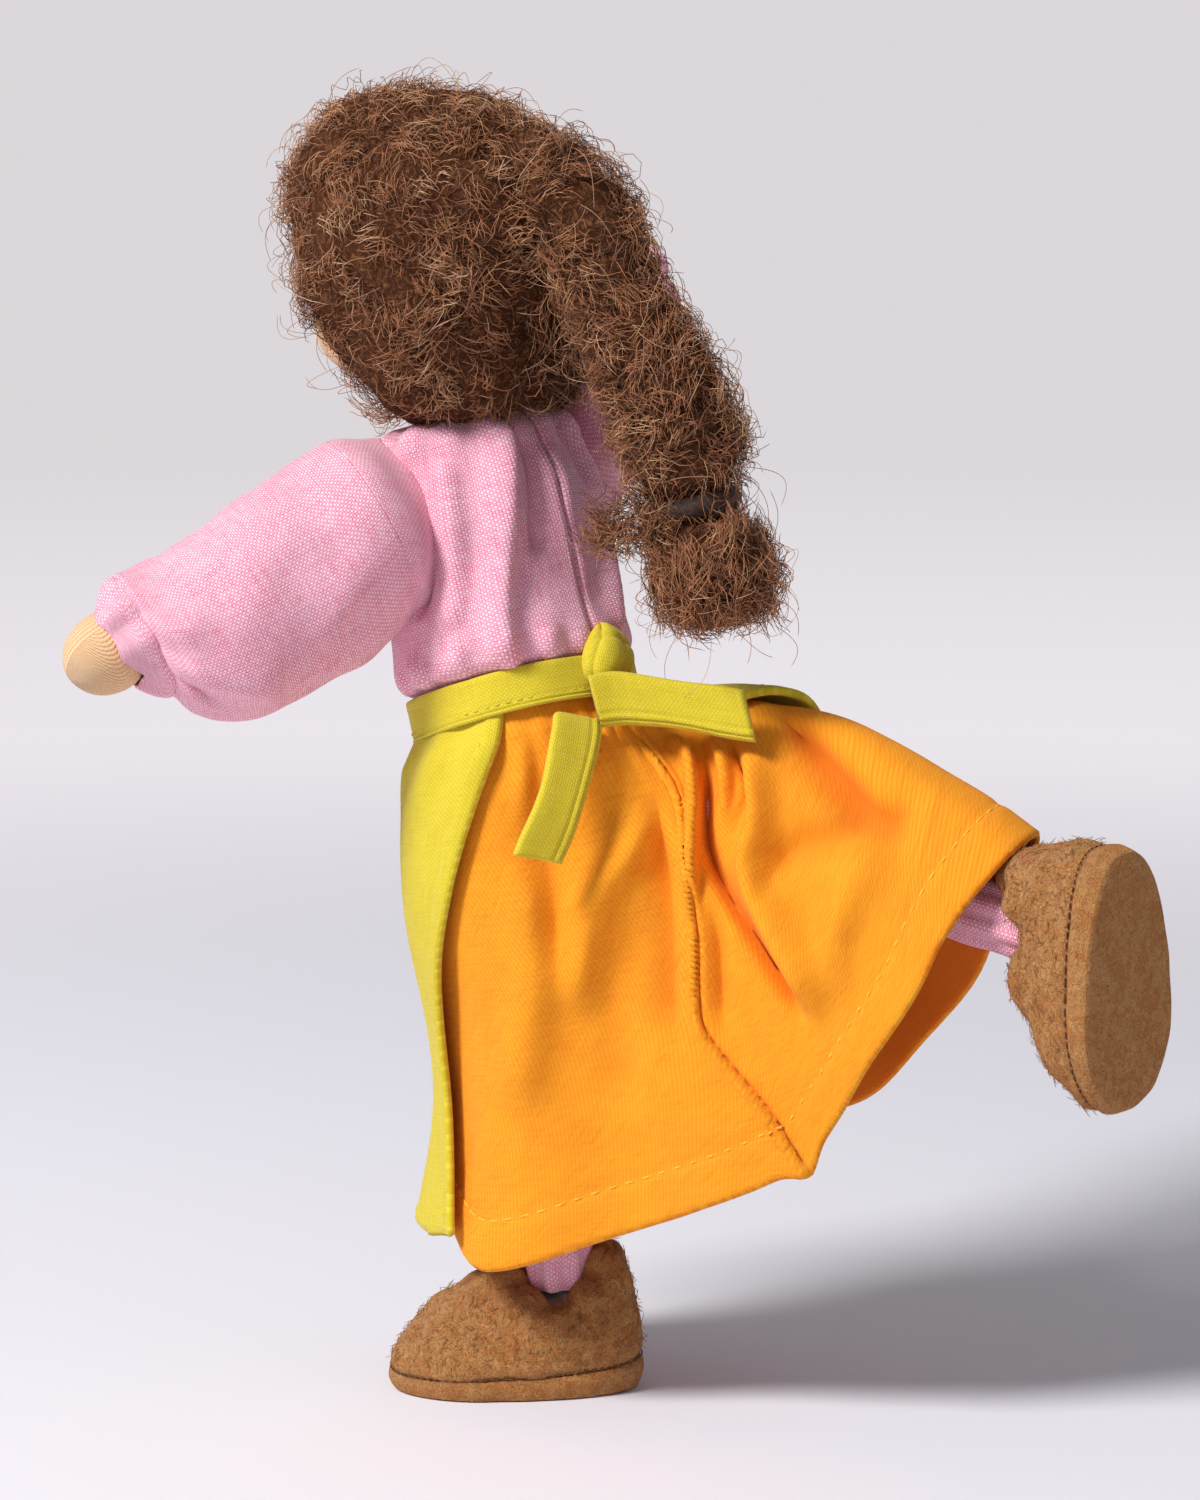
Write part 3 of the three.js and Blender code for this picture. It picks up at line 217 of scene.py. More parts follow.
def drawn_folds(folds, turn, share, radius, length):
    """The relief of a table of folds on a tube. Each path in it is (degrees round, share of the length),
    laid flat by the tube's radius and length, which is below 0 where shares run up the cloth."""
    relief = 0 * (turn + share)
    for height, widths, path in folds:
        degrees, shares = np.array(path).T
        middle = np.radians(degrees.mean())
        across = ((turn - middle + np.pi) % TURN - np.pi) * radius
        flat = np.stack(np.broadcast_arrays(across, share * length), -1)
        line = np.stack([(np.radians(degrees) - middle) * radius, shares * length], -1)
        relief = relief + fold(flat, line, height, widths)
    return relief


def hollows(relief, inside=0.6):
    """Painted shade for both faces of a cloth: on its outer face, how deep each point lies in a fold, 0 on
    ridges and 1 in deep valleys; on its inner face, an even shade of inside.
    """
    deepest = 2.3
    return np.stack([np.clip(-relief / deepest, 0, 1), np.full(relief.shape, inside)])


# Meshes


def mesh_object(name, points, faces, corners=None, **fields):
    """An object of points in mm and arrays of faces, turned outwards by its signed volume."""
    points = np.asarray(points, float).reshape(-1, 3)
    corners = corners or [None] * len(faces)
    volume = 0.0
    for f in faces:
        for k in range(1, f.shape[1] - 1):
            a, b, c = points[f[:, 0]], points[f[:, k]], points[f[:, k + 1]]
            volume += np.einsum("ij,ij->", a, np.cross(b, c))
    if volume < 0:
        faces = [f[:, ::-1] for f in faces]
        corners = [c if c is None else c[:, ::-1] for c in corners]
    counts = np.concatenate([np.full(len(f), f.shape[1]) for f in faces])
    loops = np.concatenate([f.ravel() for f in faces])
    mesh = bpy.data.meshes.new(name)
    mesh.vertices.add(len(points))
    mesh.vertices.foreach_set("co", (points * MM).astype(np.float32).ravel())
    mesh.loops.add(len(loops))
    mesh.loops.foreach_set("vertex_index", loops.astype(np.int32))
    mesh.polygons.add(len(counts))
    mesh.polygons.foreach_set("loop_start", np.r_[0, np.cumsum(counts)[:-1]].astype(np.int32))
    if corners[0] is not None:
        uv = np.concatenate([c.reshape(-1, 2) for c in corners])
        mesh.uv_layers.new(name="UVMap").uv.foreach_set("vector", uv.astype(np.float32).ravel())
    mesh.update(calc_edges=True)
    mesh.polygons.foreach_set("use_smooth", np.ones(len(counts), bool))
    for key, values in fields.items():
        layer = mesh.attributes.new(key, "FLOAT", "POINT")
        layer.data.foreach_set("value", np.asarray(values, np.float32).ravel())
    piece = bpy.data.objects.new(name, mesh)
    bpy.context.scene.collection.objects.link(piece)
    return piece


def grid_faces(rows, columns, closed=True, looped=False):
    """Squares of a grid of points: closed joins its last column to its first, looped its rows."""
    r = np.arange(rows if looped else rows - 1)[:, None]
    c = np.arange(columns if closed else columns - 1)[None]
    below, after = (r + 1) % rows, (c + 1) % columns
    square = [r * columns + c, r * columns + after, below * columns + after, below * columns + c]
    return np.stack(np.broadcast_arrays(*square), -1).reshape(-1, 4)


def lay(points, closed=True, split=None):
    """Real lengths along a grid's rows and columns, for both ends of each square's edge.

    Columns after split are measured back from the end, so the pattern meets in a seam there."""
    around = np.concatenate([points, points[:, :1]], 1) if closed else points
    u = np.zeros(around.shape[:2])
    u[:, 1:] = np.cumsum(np.linalg.norm(np.diff(around, axis=1), axis=-1), axis=1)
    v = np.zeros(around.shape[:2])
    v[1:] = np.cumsum(np.linalg.norm(np.diff(around, axis=0), axis=-1), axis=0)
    ends = np.stack([np.stack([u[:, :-1], v[:, :-1]], -1), np.stack([u[:, 1:], v[:, 1:]], -1)], 2)
    if split is not None:
        ends[:, split:, :, 0] -= u[:, -1][:, None, None]
    return ends


def square_corners(ends, looped=False):
    """The pattern's place at the four corners of each square."""
    above = ends if looped else ends[:-1]
    below = np.roll(ends, -1, 0) if looped else ends[1:]
    if looped:
        below[-1, :, :, 1] = ends[-1, :, :, 1] + 0.3
    return np.stack([above[:, :, 0], above[:, :, 1], below[:, :, 1], below[:, :, 0]], 2).reshape(-1, 4, 2)


def normals(points, closed=True):
    """Across times down at each point of a grid, which is outwards where rows run down."""
    if closed:
        across = np.roll(points, -1, 1) - np.roll(points, 1, 1)
    else:
        across = np.gradient(points, axis=1)
    return unit(np.cross(across, np.gradient(points, axis=0)))


def cloth(name, middle, thick, closed=True, split=None, laid=None, **fields):
    """A sheet of cloth: a grid moved half its thickness each way, with a rounded rim between."""
    rows, columns = middle.shape[:2]
    n = rows * columns
    half = np.broadcast_to(np.asarray(thick, float), (rows, columns))[..., None] / 2
    out = normals(middle, closed)
    index = np.arange(n).reshape(rows, columns)
    ends = lay(middle if laid is None else laid, closed, split)
    faces = grid_faces(rows, columns, closed)
    corners = square_corners(ends)
    beyond = np.zeros_like(middle)
    beyond[0] += unit(middle[0] - middle[1])
    beyond[-1] += unit(middle[-1] - middle[-2])
    if closed:
        edges = [index[0], index[-1][::-1]]
    else:
        beyond[:, 0] += unit(middle[:, 0] - middle[:, 1])
        beyond[:, -1] += unit(middle[:, -1] - middle[:, -2])
        edges = [np.r_[index[0, :-1], index[:-1, -1], index[-1, :0:-1], index[:0:-1, 0]]]
    rim = (middle + unit(beyond) * half).reshape(-1, 3)
    plain = np.zeros((rows, columns, 2))
    plain[:, : ends.shape[1]] = ends[:, :, 0]
    if not closed:
        plain[:, -1] = ends[:, -1, 1]
    plain = plain.reshape(-1, 2)
    all_faces, all_corners = [faces, faces[:, ::-1] + n], [corners, corners[:, ::-1]]
    points = [(middle + out * half).reshape(-1, 3), (middle - out * half).reshape(-1, 3)]
    start = 2 * n
    for edge in edges:
        after = np.roll(edge, -1)
        here = start + np.arange(len(edge))
        there = np.roll(here, -1)
        points.append(rim[edge])
        all_faces += [
            np.stack([after, edge, here, there], -1),
            np.stack([there, here, edge + n, after + n], -1),
        ]
        strip = plain[np.stack([after, edge, edge, after], -1)]
        strip[:, [0, 3]] = plain[edge][:, None] + [0.1, 0]
        all_corners += [strip, strip]
        start += len(edge)
    grown = {}
    for key, value in fields.items():
        value = np.broadcast_to(value, (2, rows, columns)).reshape(-1)
        grown[key] = np.concatenate([value, *[value[edge] for edge in edges]])
    return mesh_object(name, np.vstack(points), all_faces, all_corners, **grown)


def rounded(name, rings, **fields):
    """A closed body: rings joined in order, with its first and last closed to their middles."""
    rows, columns = rings.shape[:2]
    ends = lay(rings)
    points = np.vstack([rings.reshape(-1, 3), rings[0].mean(0), rings[-1].mean(0)])
    ring = np.arange(columns)
    after = (ring + 1) % columns
    last = (rows - 1) * columns
    caps = [
        np.stack([after, ring, np.full(columns, rows * columns)], -1),
        np.stack([last + ring, last + after, np.full(columns, rows * columns + 1)], -1),
    ]
    corners = [square_corners(ends)]
    for row, order in ((0, (1, 0)), (-1, (0, 1))):
        tip = ends[row].mean(1) + [0, -0.5 if row == 0 else 0.5]
        corners.append(np.stack([ends[row][:, order[0]], ends[row][:, order[1]], tip], 1))
    grown = {k: np.r_[np.ravel(v), np.ravel(v)[0], np.ravel(v)[-1]] for k, v in fields.items()}
    return mesh_object(name, points, [grid_faces(rows, columns), *caps], corners, **grown)


def looped(name, rings, **fields):
    """A closed loop of closed rings, such as a band round a waist."""
    rows, columns = rings.shape[:2]
    corners = square_corners(lay(rings), True)
    return mesh_object(name, rings, [grid_faces(rows, columns, True, True)], [corners], **fields)


def strands(name, lines, thick, shade, sides=3):
    """Many threads at once. Each is a line of points with rings round all but its ends, which are tips."""
    count, steps = lines.shape[:2]
    way = unit(np.gradient(lines, axis=1))
    side = unit(lines.mean(1, keepdims=True) - lines.mean((0, 1))) + [0.31, 0.17, 0.23]
    side = unit(np.cross(way, side))
    turn = np.stack([side, np.cross(way, side)], -1)[:, :, None]
    radius = np.broadcast_to(thick, (count, steps))[..., None, None] / 2
    ring = spokes(turn, circle(sides))
    rings = (lines[:, :, None] + ring * radius)[:, 1:-1].reshape(count, -1, 3)
    each = 2 + (steps - 2) * sides
    points = np.concatenate([lines[:, :1], rings, lines[:, -1:]], 1)
    tube = grid_faces(steps - 2, sides) + 1
    ringed = np.arange(sides)
    after = (ringed + 1) % sides
    last = 1 + (steps - 3) * sides
    tips = np.concatenate(
        [
            np.stack([after + 1, ringed + 1, ringed * 0], -1),
            np.stack([last + ringed, last + after, ringed * 0 + each - 1], -1),
        ]
    )
    move = (np.arange(count) * each)[:, None, None]
    shade = np.broadcast_to(np.asarray(shade, float), (count, steps))
    tone = np.concatenate([shade[:, :1], np.repeat(shade[:, 1:-1], sides, 1), shade[:, -1:]], 1)
    faces = [(tube + move).reshape(-1, 4), (tips + move).reshape(-1, 3)]
    return mesh_object(name, points.reshape(-1, 3), faces, tone=tone)


def stitches(name, starts, ends, out, thick, lift):
    """Short threads that come up through the cloth at one point and go down at another, in a sine arch."""
    t = np.linspace(0, 1, 7)[None, :, None]
    arch = np.sin(np.pi * t) ** 0.6 * lift - 0.5 * lift
    lines = starts[:, None] * (1 - t) + ends[:, None] * t + out[:, None] * arch
    shade = np.random.default_rng(len(starts)).uniform(0.3, 0.9, (len(starts), 1))
    return strands(name, lines, thick * np.array([0.3, 0.9, 1, 1, 1, 0.9, 0.3])[None], shade, 5)


def on_grid(values, row, column, closed=True):
    """Values of a grid at fractions of its rows and columns, between its points in straight lines."""
    rows, columns = values.shape[:2]
    r = np.clip(np.asarray(row, float) * (rows - 1), 0, rows - 1.001)
    c = np.asarray(column, float) * (columns if closed else columns - 1)
    c = c % columns if closed else np.clip(c, 0, columns - 1.001)
    i, j = r.astype(int), c.astype(int)
    a, b = (r - i)[..., None], (c - j)[..., None]
    k = (j + 1) % columns
    upper = values[i, j] * (1 - b) + values[i, k] * b
    return upper * (1 - a) + (values[i + 1, j] * (1 - b) + values[i + 1, k] * b) * a


# Materials


def srgb(red, green, blue):
    """A colour given in display steps of 255, as the shader wants it."""
    c = np.array([red, green, blue]) / 255
    return tuple(float(x) for x in np.where(c <= 0.04045, c / 12.92, ((c + 0.055) / 1.055) ** 2.4))


def operator(operation):
    """A Python operator on links and its reflected form, each of which adds one Math node."""

    def forward(link, other):
        return link.of(operation, link, other)

    def reflected(link, other):
        return link.of(operation, other, link)

    return forward, reflected


class Link:
    """A socket of a material, on which arithmetic adds Math nodes."""

    def __init__(self, finish, socket):
        self.finish = finish
        self.socket = socket

    def of(self, operation, *values):
        return self.finish.add("ShaderNodeMath", {"operation": operation}, dict(enumerate(values)))

    __add__, __radd__ = operator("ADD")
    __sub__, __rsub__ = operator("SUBTRACT")
    __mul__, __rmul__ = operator("MULTIPLY")
    __pow__, __rpow__ = operator("POWER")

    def __abs__(self):
        return self.of("ABSOLUTE", self)

    def sine(self):
        return self.of("SINE", self)

    def ramp(self, low, high):
        """0 at low and 1 at high, smoothly between them and level beyond them."""
        sockets = {"Value": self, "From Min": low, "From Max": high}
        return self.finish.add("ShaderNodeMapRange", {"interpolation_type": "SMOOTHSTEP"}, sockets)


class Finish:
    """A material whose surface is one principled shader."""

    def __init__(self, name, roughness=0.9, sheen=0.0, specular=0.3):
        self.material = bpy.data.materials.new(name)
        self.material.use_nodes = True
        self.tree = self.material.node_tree
        self.shader = self.tree.nodes["Principled BSDF"]
        self.set("Roughness", roughness)
        self.set("Sheen Weight", sheen)
        self.set("Sheen Roughness", 0.5)
        self.set("Specular IOR Level", specular)

    def set(self, socket, value):
        """A value or a link into one of the shader's own sockets."""
        self.join(self.shader.inputs[socket], value)

    def join(self, socket, value):
        """A link, a number, or a colour or vector of three figures, into any socket."""
        if isinstance(value, Link):
            self.tree.links.new(value.socket, socket)
        elif hasattr(value, "__len__") and len(socket.default_value) == 4:
            socket.default_value = (*value, 1)
        else:
            socket.default_value = value

    def add(self, kind, settings=None, sockets=None, out=0):
        """A node with its settings made first, then the values or links of its sockets."""
        node = self.tree.nodes.new(kind)
        for key, value in (settings or {}).items():
            setattr(node, key, value)
        for key, value in (sockets or {}).items():
            self.join(node.inputs[key], value)
        return Link(self, node.outputs[out])

    def place(self):
        return self.add("ShaderNodeTexCoord", out="Object")

    def pattern(self):
        """The piece's own map, in millimetres across and down."""
        laid = self.add("ShaderNodeTexCoord", out="UV")
        return [self.add("ShaderNodeSeparateXYZ", None, {"Vector": laid}, axis) for axis in ("X", "Y")]

    def field(self, name):
        """A value that the piece carries at each point."""
        return self.add("ShaderNodeAttribute", {"attribute_name": name}, out="Fac")

    def noise(self, place, scale, detail=3.0, rough=0.55, distort=0.0):
        sockets = {"Vector": place, "Scale": scale, "Detail": detail, "Roughness": rough}
        sockets["Distortion"] = distort
        return self.add("ShaderNodeTexNoise", {"noise_dimensions": "3D"}, sockets, "Fac")

    def vector(self, x, y, z=0.0):
        return self.add("ShaderNodeCombineXYZ", None, {"X": x, "Y": y, "Z": z})

    def mix(self, factor, a, b):
        """Two colours mixed by a factor. The node's colour sockets are its inputs 6 and 7."""
        return self.add("ShaderNodeMix", {"data_type": "RGBA"}, {0: factor, 6: a, 7: b}, 2)

    def bump(self, height, depth, strength=1.0):
        """Relief whose height of 1 stands depth mm."""
        sockets = {"Height": height, "Distance": depth * MM, "Strength": strength}
        self.set("Normal", self.add("ShaderNodeBump", None, sockets))


def cotton(name, warp, weft, deep, pitch, contrast=1.0, slant=0.0, sheen=0.15):
    """Plain weave: threads cross at each pitch, so the height is |sin across * sin down| and the
    sign of that product says which thread lies on top. Threads vary along their length, and slant
    adds a share of a twill's slanted ridges."""
    finish = Finish(name, 0.88, sheen)
    across, down = finish.pattern()
    cross = (across * (np.pi / pitch)).sine() * (down * (np.pi / (0.86 * pitch))).sine()
    twill = ((across + down) * (np.pi / pitch)).sine() * slant
    height = abs(cross) ** 0.55 * (1.0 - slant) + abs(twill)
    top = (cross * 2.2 + 0.5).ramp(0.0, 1.0)
    slub = finish.noise(finish.vector(across * 5.0, down * 0.4), 1.0, 2.0)
    slub_down = finish.noise(finish.vector(across * 0.4, down * 5.0, 7.0), 1.0, 2.0)
    place = finish.place()
    cloud = finish.noise(place, 160.0, 4.0)
    # Painted shade between the threads, where each lies low, mixed with slubs and a cloud as random
    # unevenness of tone.
    shade = (1.0 - height) * (0.6 * contrast) + (slub - 0.5) * 0.7 + (slub_down - 0.5) * 0.7
    shade = shade + (cloud - 0.5) * 0.35
    colour = finish.mix((shade + 0.12).ramp(0.0, 1.1), finish.mix(top, weft, warp), deep)
    # Painted shade: deep in folds and on the inner face, the colour is mixed towards the depth colour.
    hollow = finish.field("hollow").ramp(0.05, 1.2)
    finish.set("Base Color", finish.mix(hollow * 0.7, colour, deep))
    fuzz = finish.noise(place, 5200.0, 2.0)
    finish.bump(height + (fuzz + slub + slub_down) * 0.5, 0.05 * contrast, 0.8)
    return finish.material


def felt(name, colour, light, dark):
    """Pressed wool: matted fibres are distorted noises at several sizes, with paler and darker flecks."""
    finish = Finish(name, 0.95, 0.1, 0.1)
    place = finish.place()
    coarse = finish.noise(place, 520.0, 5.0, 0.7, 1.5)
    fine = finish.noise(place, 3000.0, 4.0, 0.75, 2.5)
    fleck = finish.noise(place, 1500.0, 3.0, 0.8, 5.0)
    colour = finish.mix(coarse.ramp(0.42, 0.6) * 0.8, colour, light)
    colour = finish.mix(fleck.ramp(0.52, 0.4) * 0.8, colour, dark)
    colour = finish.mix(fine.ramp(0.47, 0.6) * 0.7, colour, light)
    finish.set("Base Color", colour)
    finish.bump(coarse * 1.4 + fine * 1.2 + fleck * 1.2, 0.3, 1.0)
    return finish.material


def strand_hair(name, dark, middle, light):
    """Mohair: the tone given to each lock runs from painted shade in its depth to a painted highlight at its
    crests.
    """
    finish = Finish(name, 0.5, 0.0, 0.35)
    tone = finish.field("tone")
    colour = finish.mix(tone.ramp(0.0, 0.5), dark, middle)
    colour = finish.mix(tone.ramp(0.5, 1.0), colour, light)
    drift = finish.noise(finish.place(), 420.0, 3.0)
    finish.set("Base Color", finish.mix((drift - 0.35).ramp(0.0, 0.5) * 0.4, colour, dark))
    finish.set("Roughness", 0.42 + drift * 0.3)
    return finish.material


def hair_depth(name, dark, middle):
    """What lies under the locks: matted curls, as distorted noise, nearly dark as painted shade of the
    hair's depth.
    """
    finish = Finish(name, 0.9, 0.0, 0.1)
    place = finish.place()
    mat = finish.noise(place, 900.0, 4.0, 0.65, 3.0)
    finish.set("Base Color", finish.mix(mat.ramp(0.45, 0.7) * 0.55, dark, middle))
    finish.bump(mat, 0.6, 1.0)
    return finish.material


def thread(name, colour, dark):
    """Thread: its twist is in its shape, and fine noise makes its fibres."""
    finish = Finish(name, 0.7, 0.1, 0.35)
    place = finish.place()
    fibre = finish.noise(place, 2400.0, 3.0, 0.6, 1.0)
    finish.set("Base Color", finish.mix(fibre.ramp(0.3, 0.7), dark, colour))
    finish.bump(fibre, 0.12, 0.7)
    return finish.material


def yarn(name, colour, dark):
    """Wound wool yarn: soft fibres over each turn, with painted shade where turns meet."""
    finish = Finish(name, 0.95, 0.3, 0.15)
    place = finish.place()
    fibre = finish.noise(place, 1900.0, 5.0, 0.7, 2.0)
    turn = finish.field("tone")
    colour = finish.mix((1.0 - turn) * 0.6 + (fibre - 0.5) * 0.5, colour, dark)
    finish.set("Base Color", colour)
    finish.bump(fibre, 0.15, 0.8)
    return finish.material


def knit(name, colour, light, deep, wale):
    """Fine jersey: wales a fixed way apart, with slanted loops along each."""
    finish = Finish(name, 0.85, 0.25, 0.25)
    across, down = finish.pattern()
    rib = abs((across * (np.pi / wale)).sine())
    slant = across * (2 * np.pi / wale)
    loop = (down * (2 * np.pi / (0.8 * wale)) + slant.sine() * 1.4).sine() * 0.5 + 0.5
    place = finish.place()
    cloud = finish.noise(place, 350.0, 3.0)
    # Painted shade between the wales and under the loops, with a random cloud of tone.
    shade = (1.0 - rib ** 0.7) * 0.75 + (1.0 - loop) * 0.25 + (cloud - 0.5) * 0.3
    colour = finish.mix(shade.ramp(0.0, 1.0) * 0.8, finish.mix(cloud, colour, light), deep)
    finish.set("Base Color", colour)
    finish.bump(rib ** 0.6 + loop * 0.35 + finish.noise(place, 4200.0, 2.0) * 0.4, 0.09, 0.8)
    return finish.material


def steel(name):
    """Annealed wire: bare steel with darker scale in patches."""
    finish = Finish(name, 0.42, 0.0, 0.5)
    place = finish.place()
    scale = finish.noise(place, 900.0, 4.0)
    finish.set("Base Color", finish.mix(scale.ramp(0.4, 0.65), srgb(150, 150, 152), srgb(92, 90, 90)))
    finish.set("Metallic", 0.9)
    finish.set("Roughness", 0.32 + scale * 0.3)
    finish.bump(finish.noise(place, 3500.0, 2.0), 0.02, 0.5)
    return finish.material


MADE = {}


def finish_of(slot):
    """The material of a slot, made the first time that it is asked for."""
    if slot not in MADE:
        c = bpy.context.scene.doll_colours
        pitch = c.thread_pitch / MM
        make, *settings = {
            "pink_cotton": (cotton, c.pink, c.pink_weft, c.pink_deep, 1.12 * pitch, 1.25),
            "orange_cotton": (cotton, c.orange, c.orange_light, c.orange_deep, pitch, 0.6, 0.5, 0.03),
            "yellow_cotton": (cotton, c.yellow, c.yellow_light, c.yellow_deep, pitch, 0.8),
            "brown_felt": (felt, c.felt, c.felt_light, c.felt_deep),
            "mohair": (strand_hair, c.hair_deep, c.hair, c.hair_light),
            "mohair_depth": (hair_depth, c.hair_deep, c.hair),
            "skin_cotton": (knit, c.skin, c.skin_light, c.skin_deep, 0.42),
            # The wool's second colour is painted shade in the grooves between its turns.
            "wool": (yarn, srgb(226, 214, 190), srgb(150, 132, 104)),
            "wire": (steel,),
            "dark_thread": (thread, srgb(70, 44, 30), srgb(34, 20, 14)),
            "red_thread": (thread, srgb(196, 84, 74), srgb(120, 40, 38)),
            "orange_thread": (thread, srgb(255, 196, 70), srgb(246, 164, 40)),
            "yellow_thread": (thread, srgb(232, 214, 60), srgb(206, 184, 36)),
            "brown_thread": (thread, srgb(112, 64, 34), srgb(72, 38, 20)),
        }[slot]
        MADE[slot] = make(slot, *settings)
    return MADE[slot]


def dress(piece, slot, body=None, replaces=(), finish=None):
    """Gives a piece the material of its finish, or of its slot where it has none, puts it on its body and
    hides the parts that it replaces.
    """
    piece.data.materials.append(finish_of(finish or slot))
    if body:
        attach(piece, body)
    if replaces:
        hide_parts(*replaces)
    return piece


def bend(piece, middle, way, before, after):
    """Meant for cloth that goes over from one body to the next: it works out two places along a way through
    a joint but keeps neither, and bakes the piece's transform into its mesh.
    """
    tuple((middle + way * before) * MM)
    tuple((middle + way * after) * MM)
    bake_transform(piece)


# The frame's own measures, in mm


JOINTS = {joint["name"]: np.array(joint["pos_m"]) / MM for joint in frame["joints"]}
SHOULDER, ELBOW, HIP, KNEE, ANKLE = (
    {side: JOINTS[f"{side}_{joint}"] for side in SIDES}
    for joint in ("shoulder", "elbow", "hip", "knee", "ankle")
)
NECK_ROOT = JOINTS["neck_nod"]
WAIST = np.array([-1.283, -0.4, 58.349])
HEAD_CENTRE = np.array([1.463, -7.607, 94.904])
UPPER_ARM, FOREARM = 14.0, 12.4
TORSO_LENGTH = 23.6
PELVIS_TILT, HEAD_TURN = np.radians((18, 6))
PELVIS_UP = np.array([0, -np.sin(PELVIS_TILT), np.cos(PELVIS_TILT)])
TORSO_UP = unit(NECK_ROOT - WAIST)
PELVIS = basis(PELVIS_UP), WAIST
ARM = {side: unit(ELBOW[side] - SHOULDER[side]) for side in SIDES}
LEG = {side: unit(KNEE[side] - HIP[side]) for side in SIDES}
HEAD_WAYS = spokes(basis(HEAD_CENTRE - NECK_ROOT), HEAD_TURN + np.array([0, np.pi / 2]))
HEAD = np.c_[HEAD_WAYS.T, unit(HEAD_CENTRE - NECK_ROOT)], HEAD_CENTRE


def torso_rings(share, half_width, half_depth, angle):
    """Ellipses round the torso's line: level with the hips at the waist, with the chest higher up.

    share, half_width and half_depth have one row per ring, and angle runs from the back by the left."""
    low = Matrix(PELVIS[0].tolist()).to_quaternion()
    high = Matrix(basis(TORSO_UP).tolist()).to_quaternion()
    rise = smooth(share, 0, 0.5)
    turn = np.array([low.slerp(high, float(r)).to_matrix() for r in np.ravel(rise)])
    up = np.where(np.ravel(share)[:, None] < 0, PELVIS_UP, TORSO_UP)
    centre = WAIST + up * np.ravel(share)[:, None] * TORSO_LENGTH
    flat = np.stack([half_width * np.sin(angle), half_depth * np.cos(angle), 0 * half_width * angle], -1)
    return np.einsum("rij,rcj->rci", turn, flat) + centre[:, None]


# Wound wool


YARN_PITCH, YARN_GROOVE = 0.8, 0.16
ARM_RADIUS, LEG_RADIUS = 2.2, 2.4


def wound_rings(start, end, knots, sides=28, steps=90):
    """Rings round a straight line. The radius is read from knots of (mm along, mm radius), less a
    groove of |sin| between turns of yarn that climb one pitch each time round."""
    along = np.linspace(knots[0][0], knots[-1][0], steps)
    radius = np.interp(along, *np.array(knots).T)
    angle = circle(sides)
    turn = np.abs(np.sin(np.pi * (along[:, None] / YARN_PITCH - angle / TURN)))
    radius = radius[:, None] - YARN_GROOVE * (1 - turn**0.7)
    ring = spokes(basis(end - start), angle) * radius[..., None]
    # turn is 0 in the groove and 1 on each turn; the wool's finish paints shade by it.
    return start + unit(end - start) * along[:, None, None] + ring, turn


def wound_limb(name, start, end, radius):
    """Yarn on a stretch of wire: thin at both bends and nearly full between them."""
    length = np.linalg.norm(end - start)
    knots = [(0.85, 0.7), (0.9, 1.05), (2.9, 0.94 * radius)]
    knots = knots + [(length / 2, radius)] + [(length - along, thick) for along, thick in knots[::-1]]
    rings, tone = wound_rings(start, end, knots)
    return rounded(name, rings, tone=tone)


# Head and hair

HEAD_SIZE = np.array([10.7, 10.7, 11.8])
NECK_THREAD_RADIUS, TIE_RADIUS = 3.55, 2.9
HAIR_DEPTH, CURL_RADIUS, CURL_TURNS = 2.3, 0.6, 1.3
HAIRLINE = [
    # degrees round the hairline from the nape either way, and degrees from the back of the head
    [6, 66],
    [18, 76],
    [30, 94],
    [42, 101],
    [54, 107],
    [66, 117],
    [78, 126],
    [90, 133],
    [102, 138],
    [120, 143],
    [150, 148],
    [180, 150],
]


def hairline(turn):
    """How far the hair reaches from the back of the head, in radians. A quarter turn leads to the crown."""
    from_nape = np.abs((np.degrees(turn) + 90 + 180) % 360 - 180)
    return np.radians(np.interp(from_nape, *np.array(HAIRLINE).T))


def jaw(way):
    """How much fuller than an ellipsoid the head is at both sides of the jaw."""
    x, y, z = np.moveaxis(way, -1, 0)
    return 2.2 * bell(np.abs(x) - 0.6, 0.34) * bell(z + 0.5, 0.34) * np.maximum(0, -y)


def scalp(turn, reach, depth):
    """The hair's shape in the head's own axes, and its directions: turn goes round the line from face
    to back, and reach is 0 at the back of the head and 1 at the hairline. Curls lift it as two crossed
    waves do. It is fuller at the crown and hangs over the nape."""
    fall = hairline(turn) * reach
    way = np.stack([np.sin(fall) * np.cos(turn), np.cos(fall), np.sin(fall) * np.sin(turn)], -1)
    spin = np.arctan2(way[..., 1], way[..., 0])
    z = way[..., 2]
    curl = np.sin(5 * spin + 4 * z) + np.sin(9 * z - 3 * spin) * np.sin(2 * spin + 1)
    deep = depth + 0.55 * curl * (1 - z * z) / 2
    crown = way @ unit(np.array([0.36, -0.52, 0.77]))
    deep = deep + 1.0 * smooth(crown, 0.78, 0.98) + jaw(way) * smooth(reach, 1.02, 0.9)
    deep = deep - 0.9 * smooth(reach, 0.62, 1) * smooth(z, 0.75, 0.3)
    deep = deep + 2.2 * smooth(-z, 0.4, 0.85) * smooth(way[..., 1], -0.4, 0.1)
    return way * (HEAD_SIZE + deep[..., None]), way


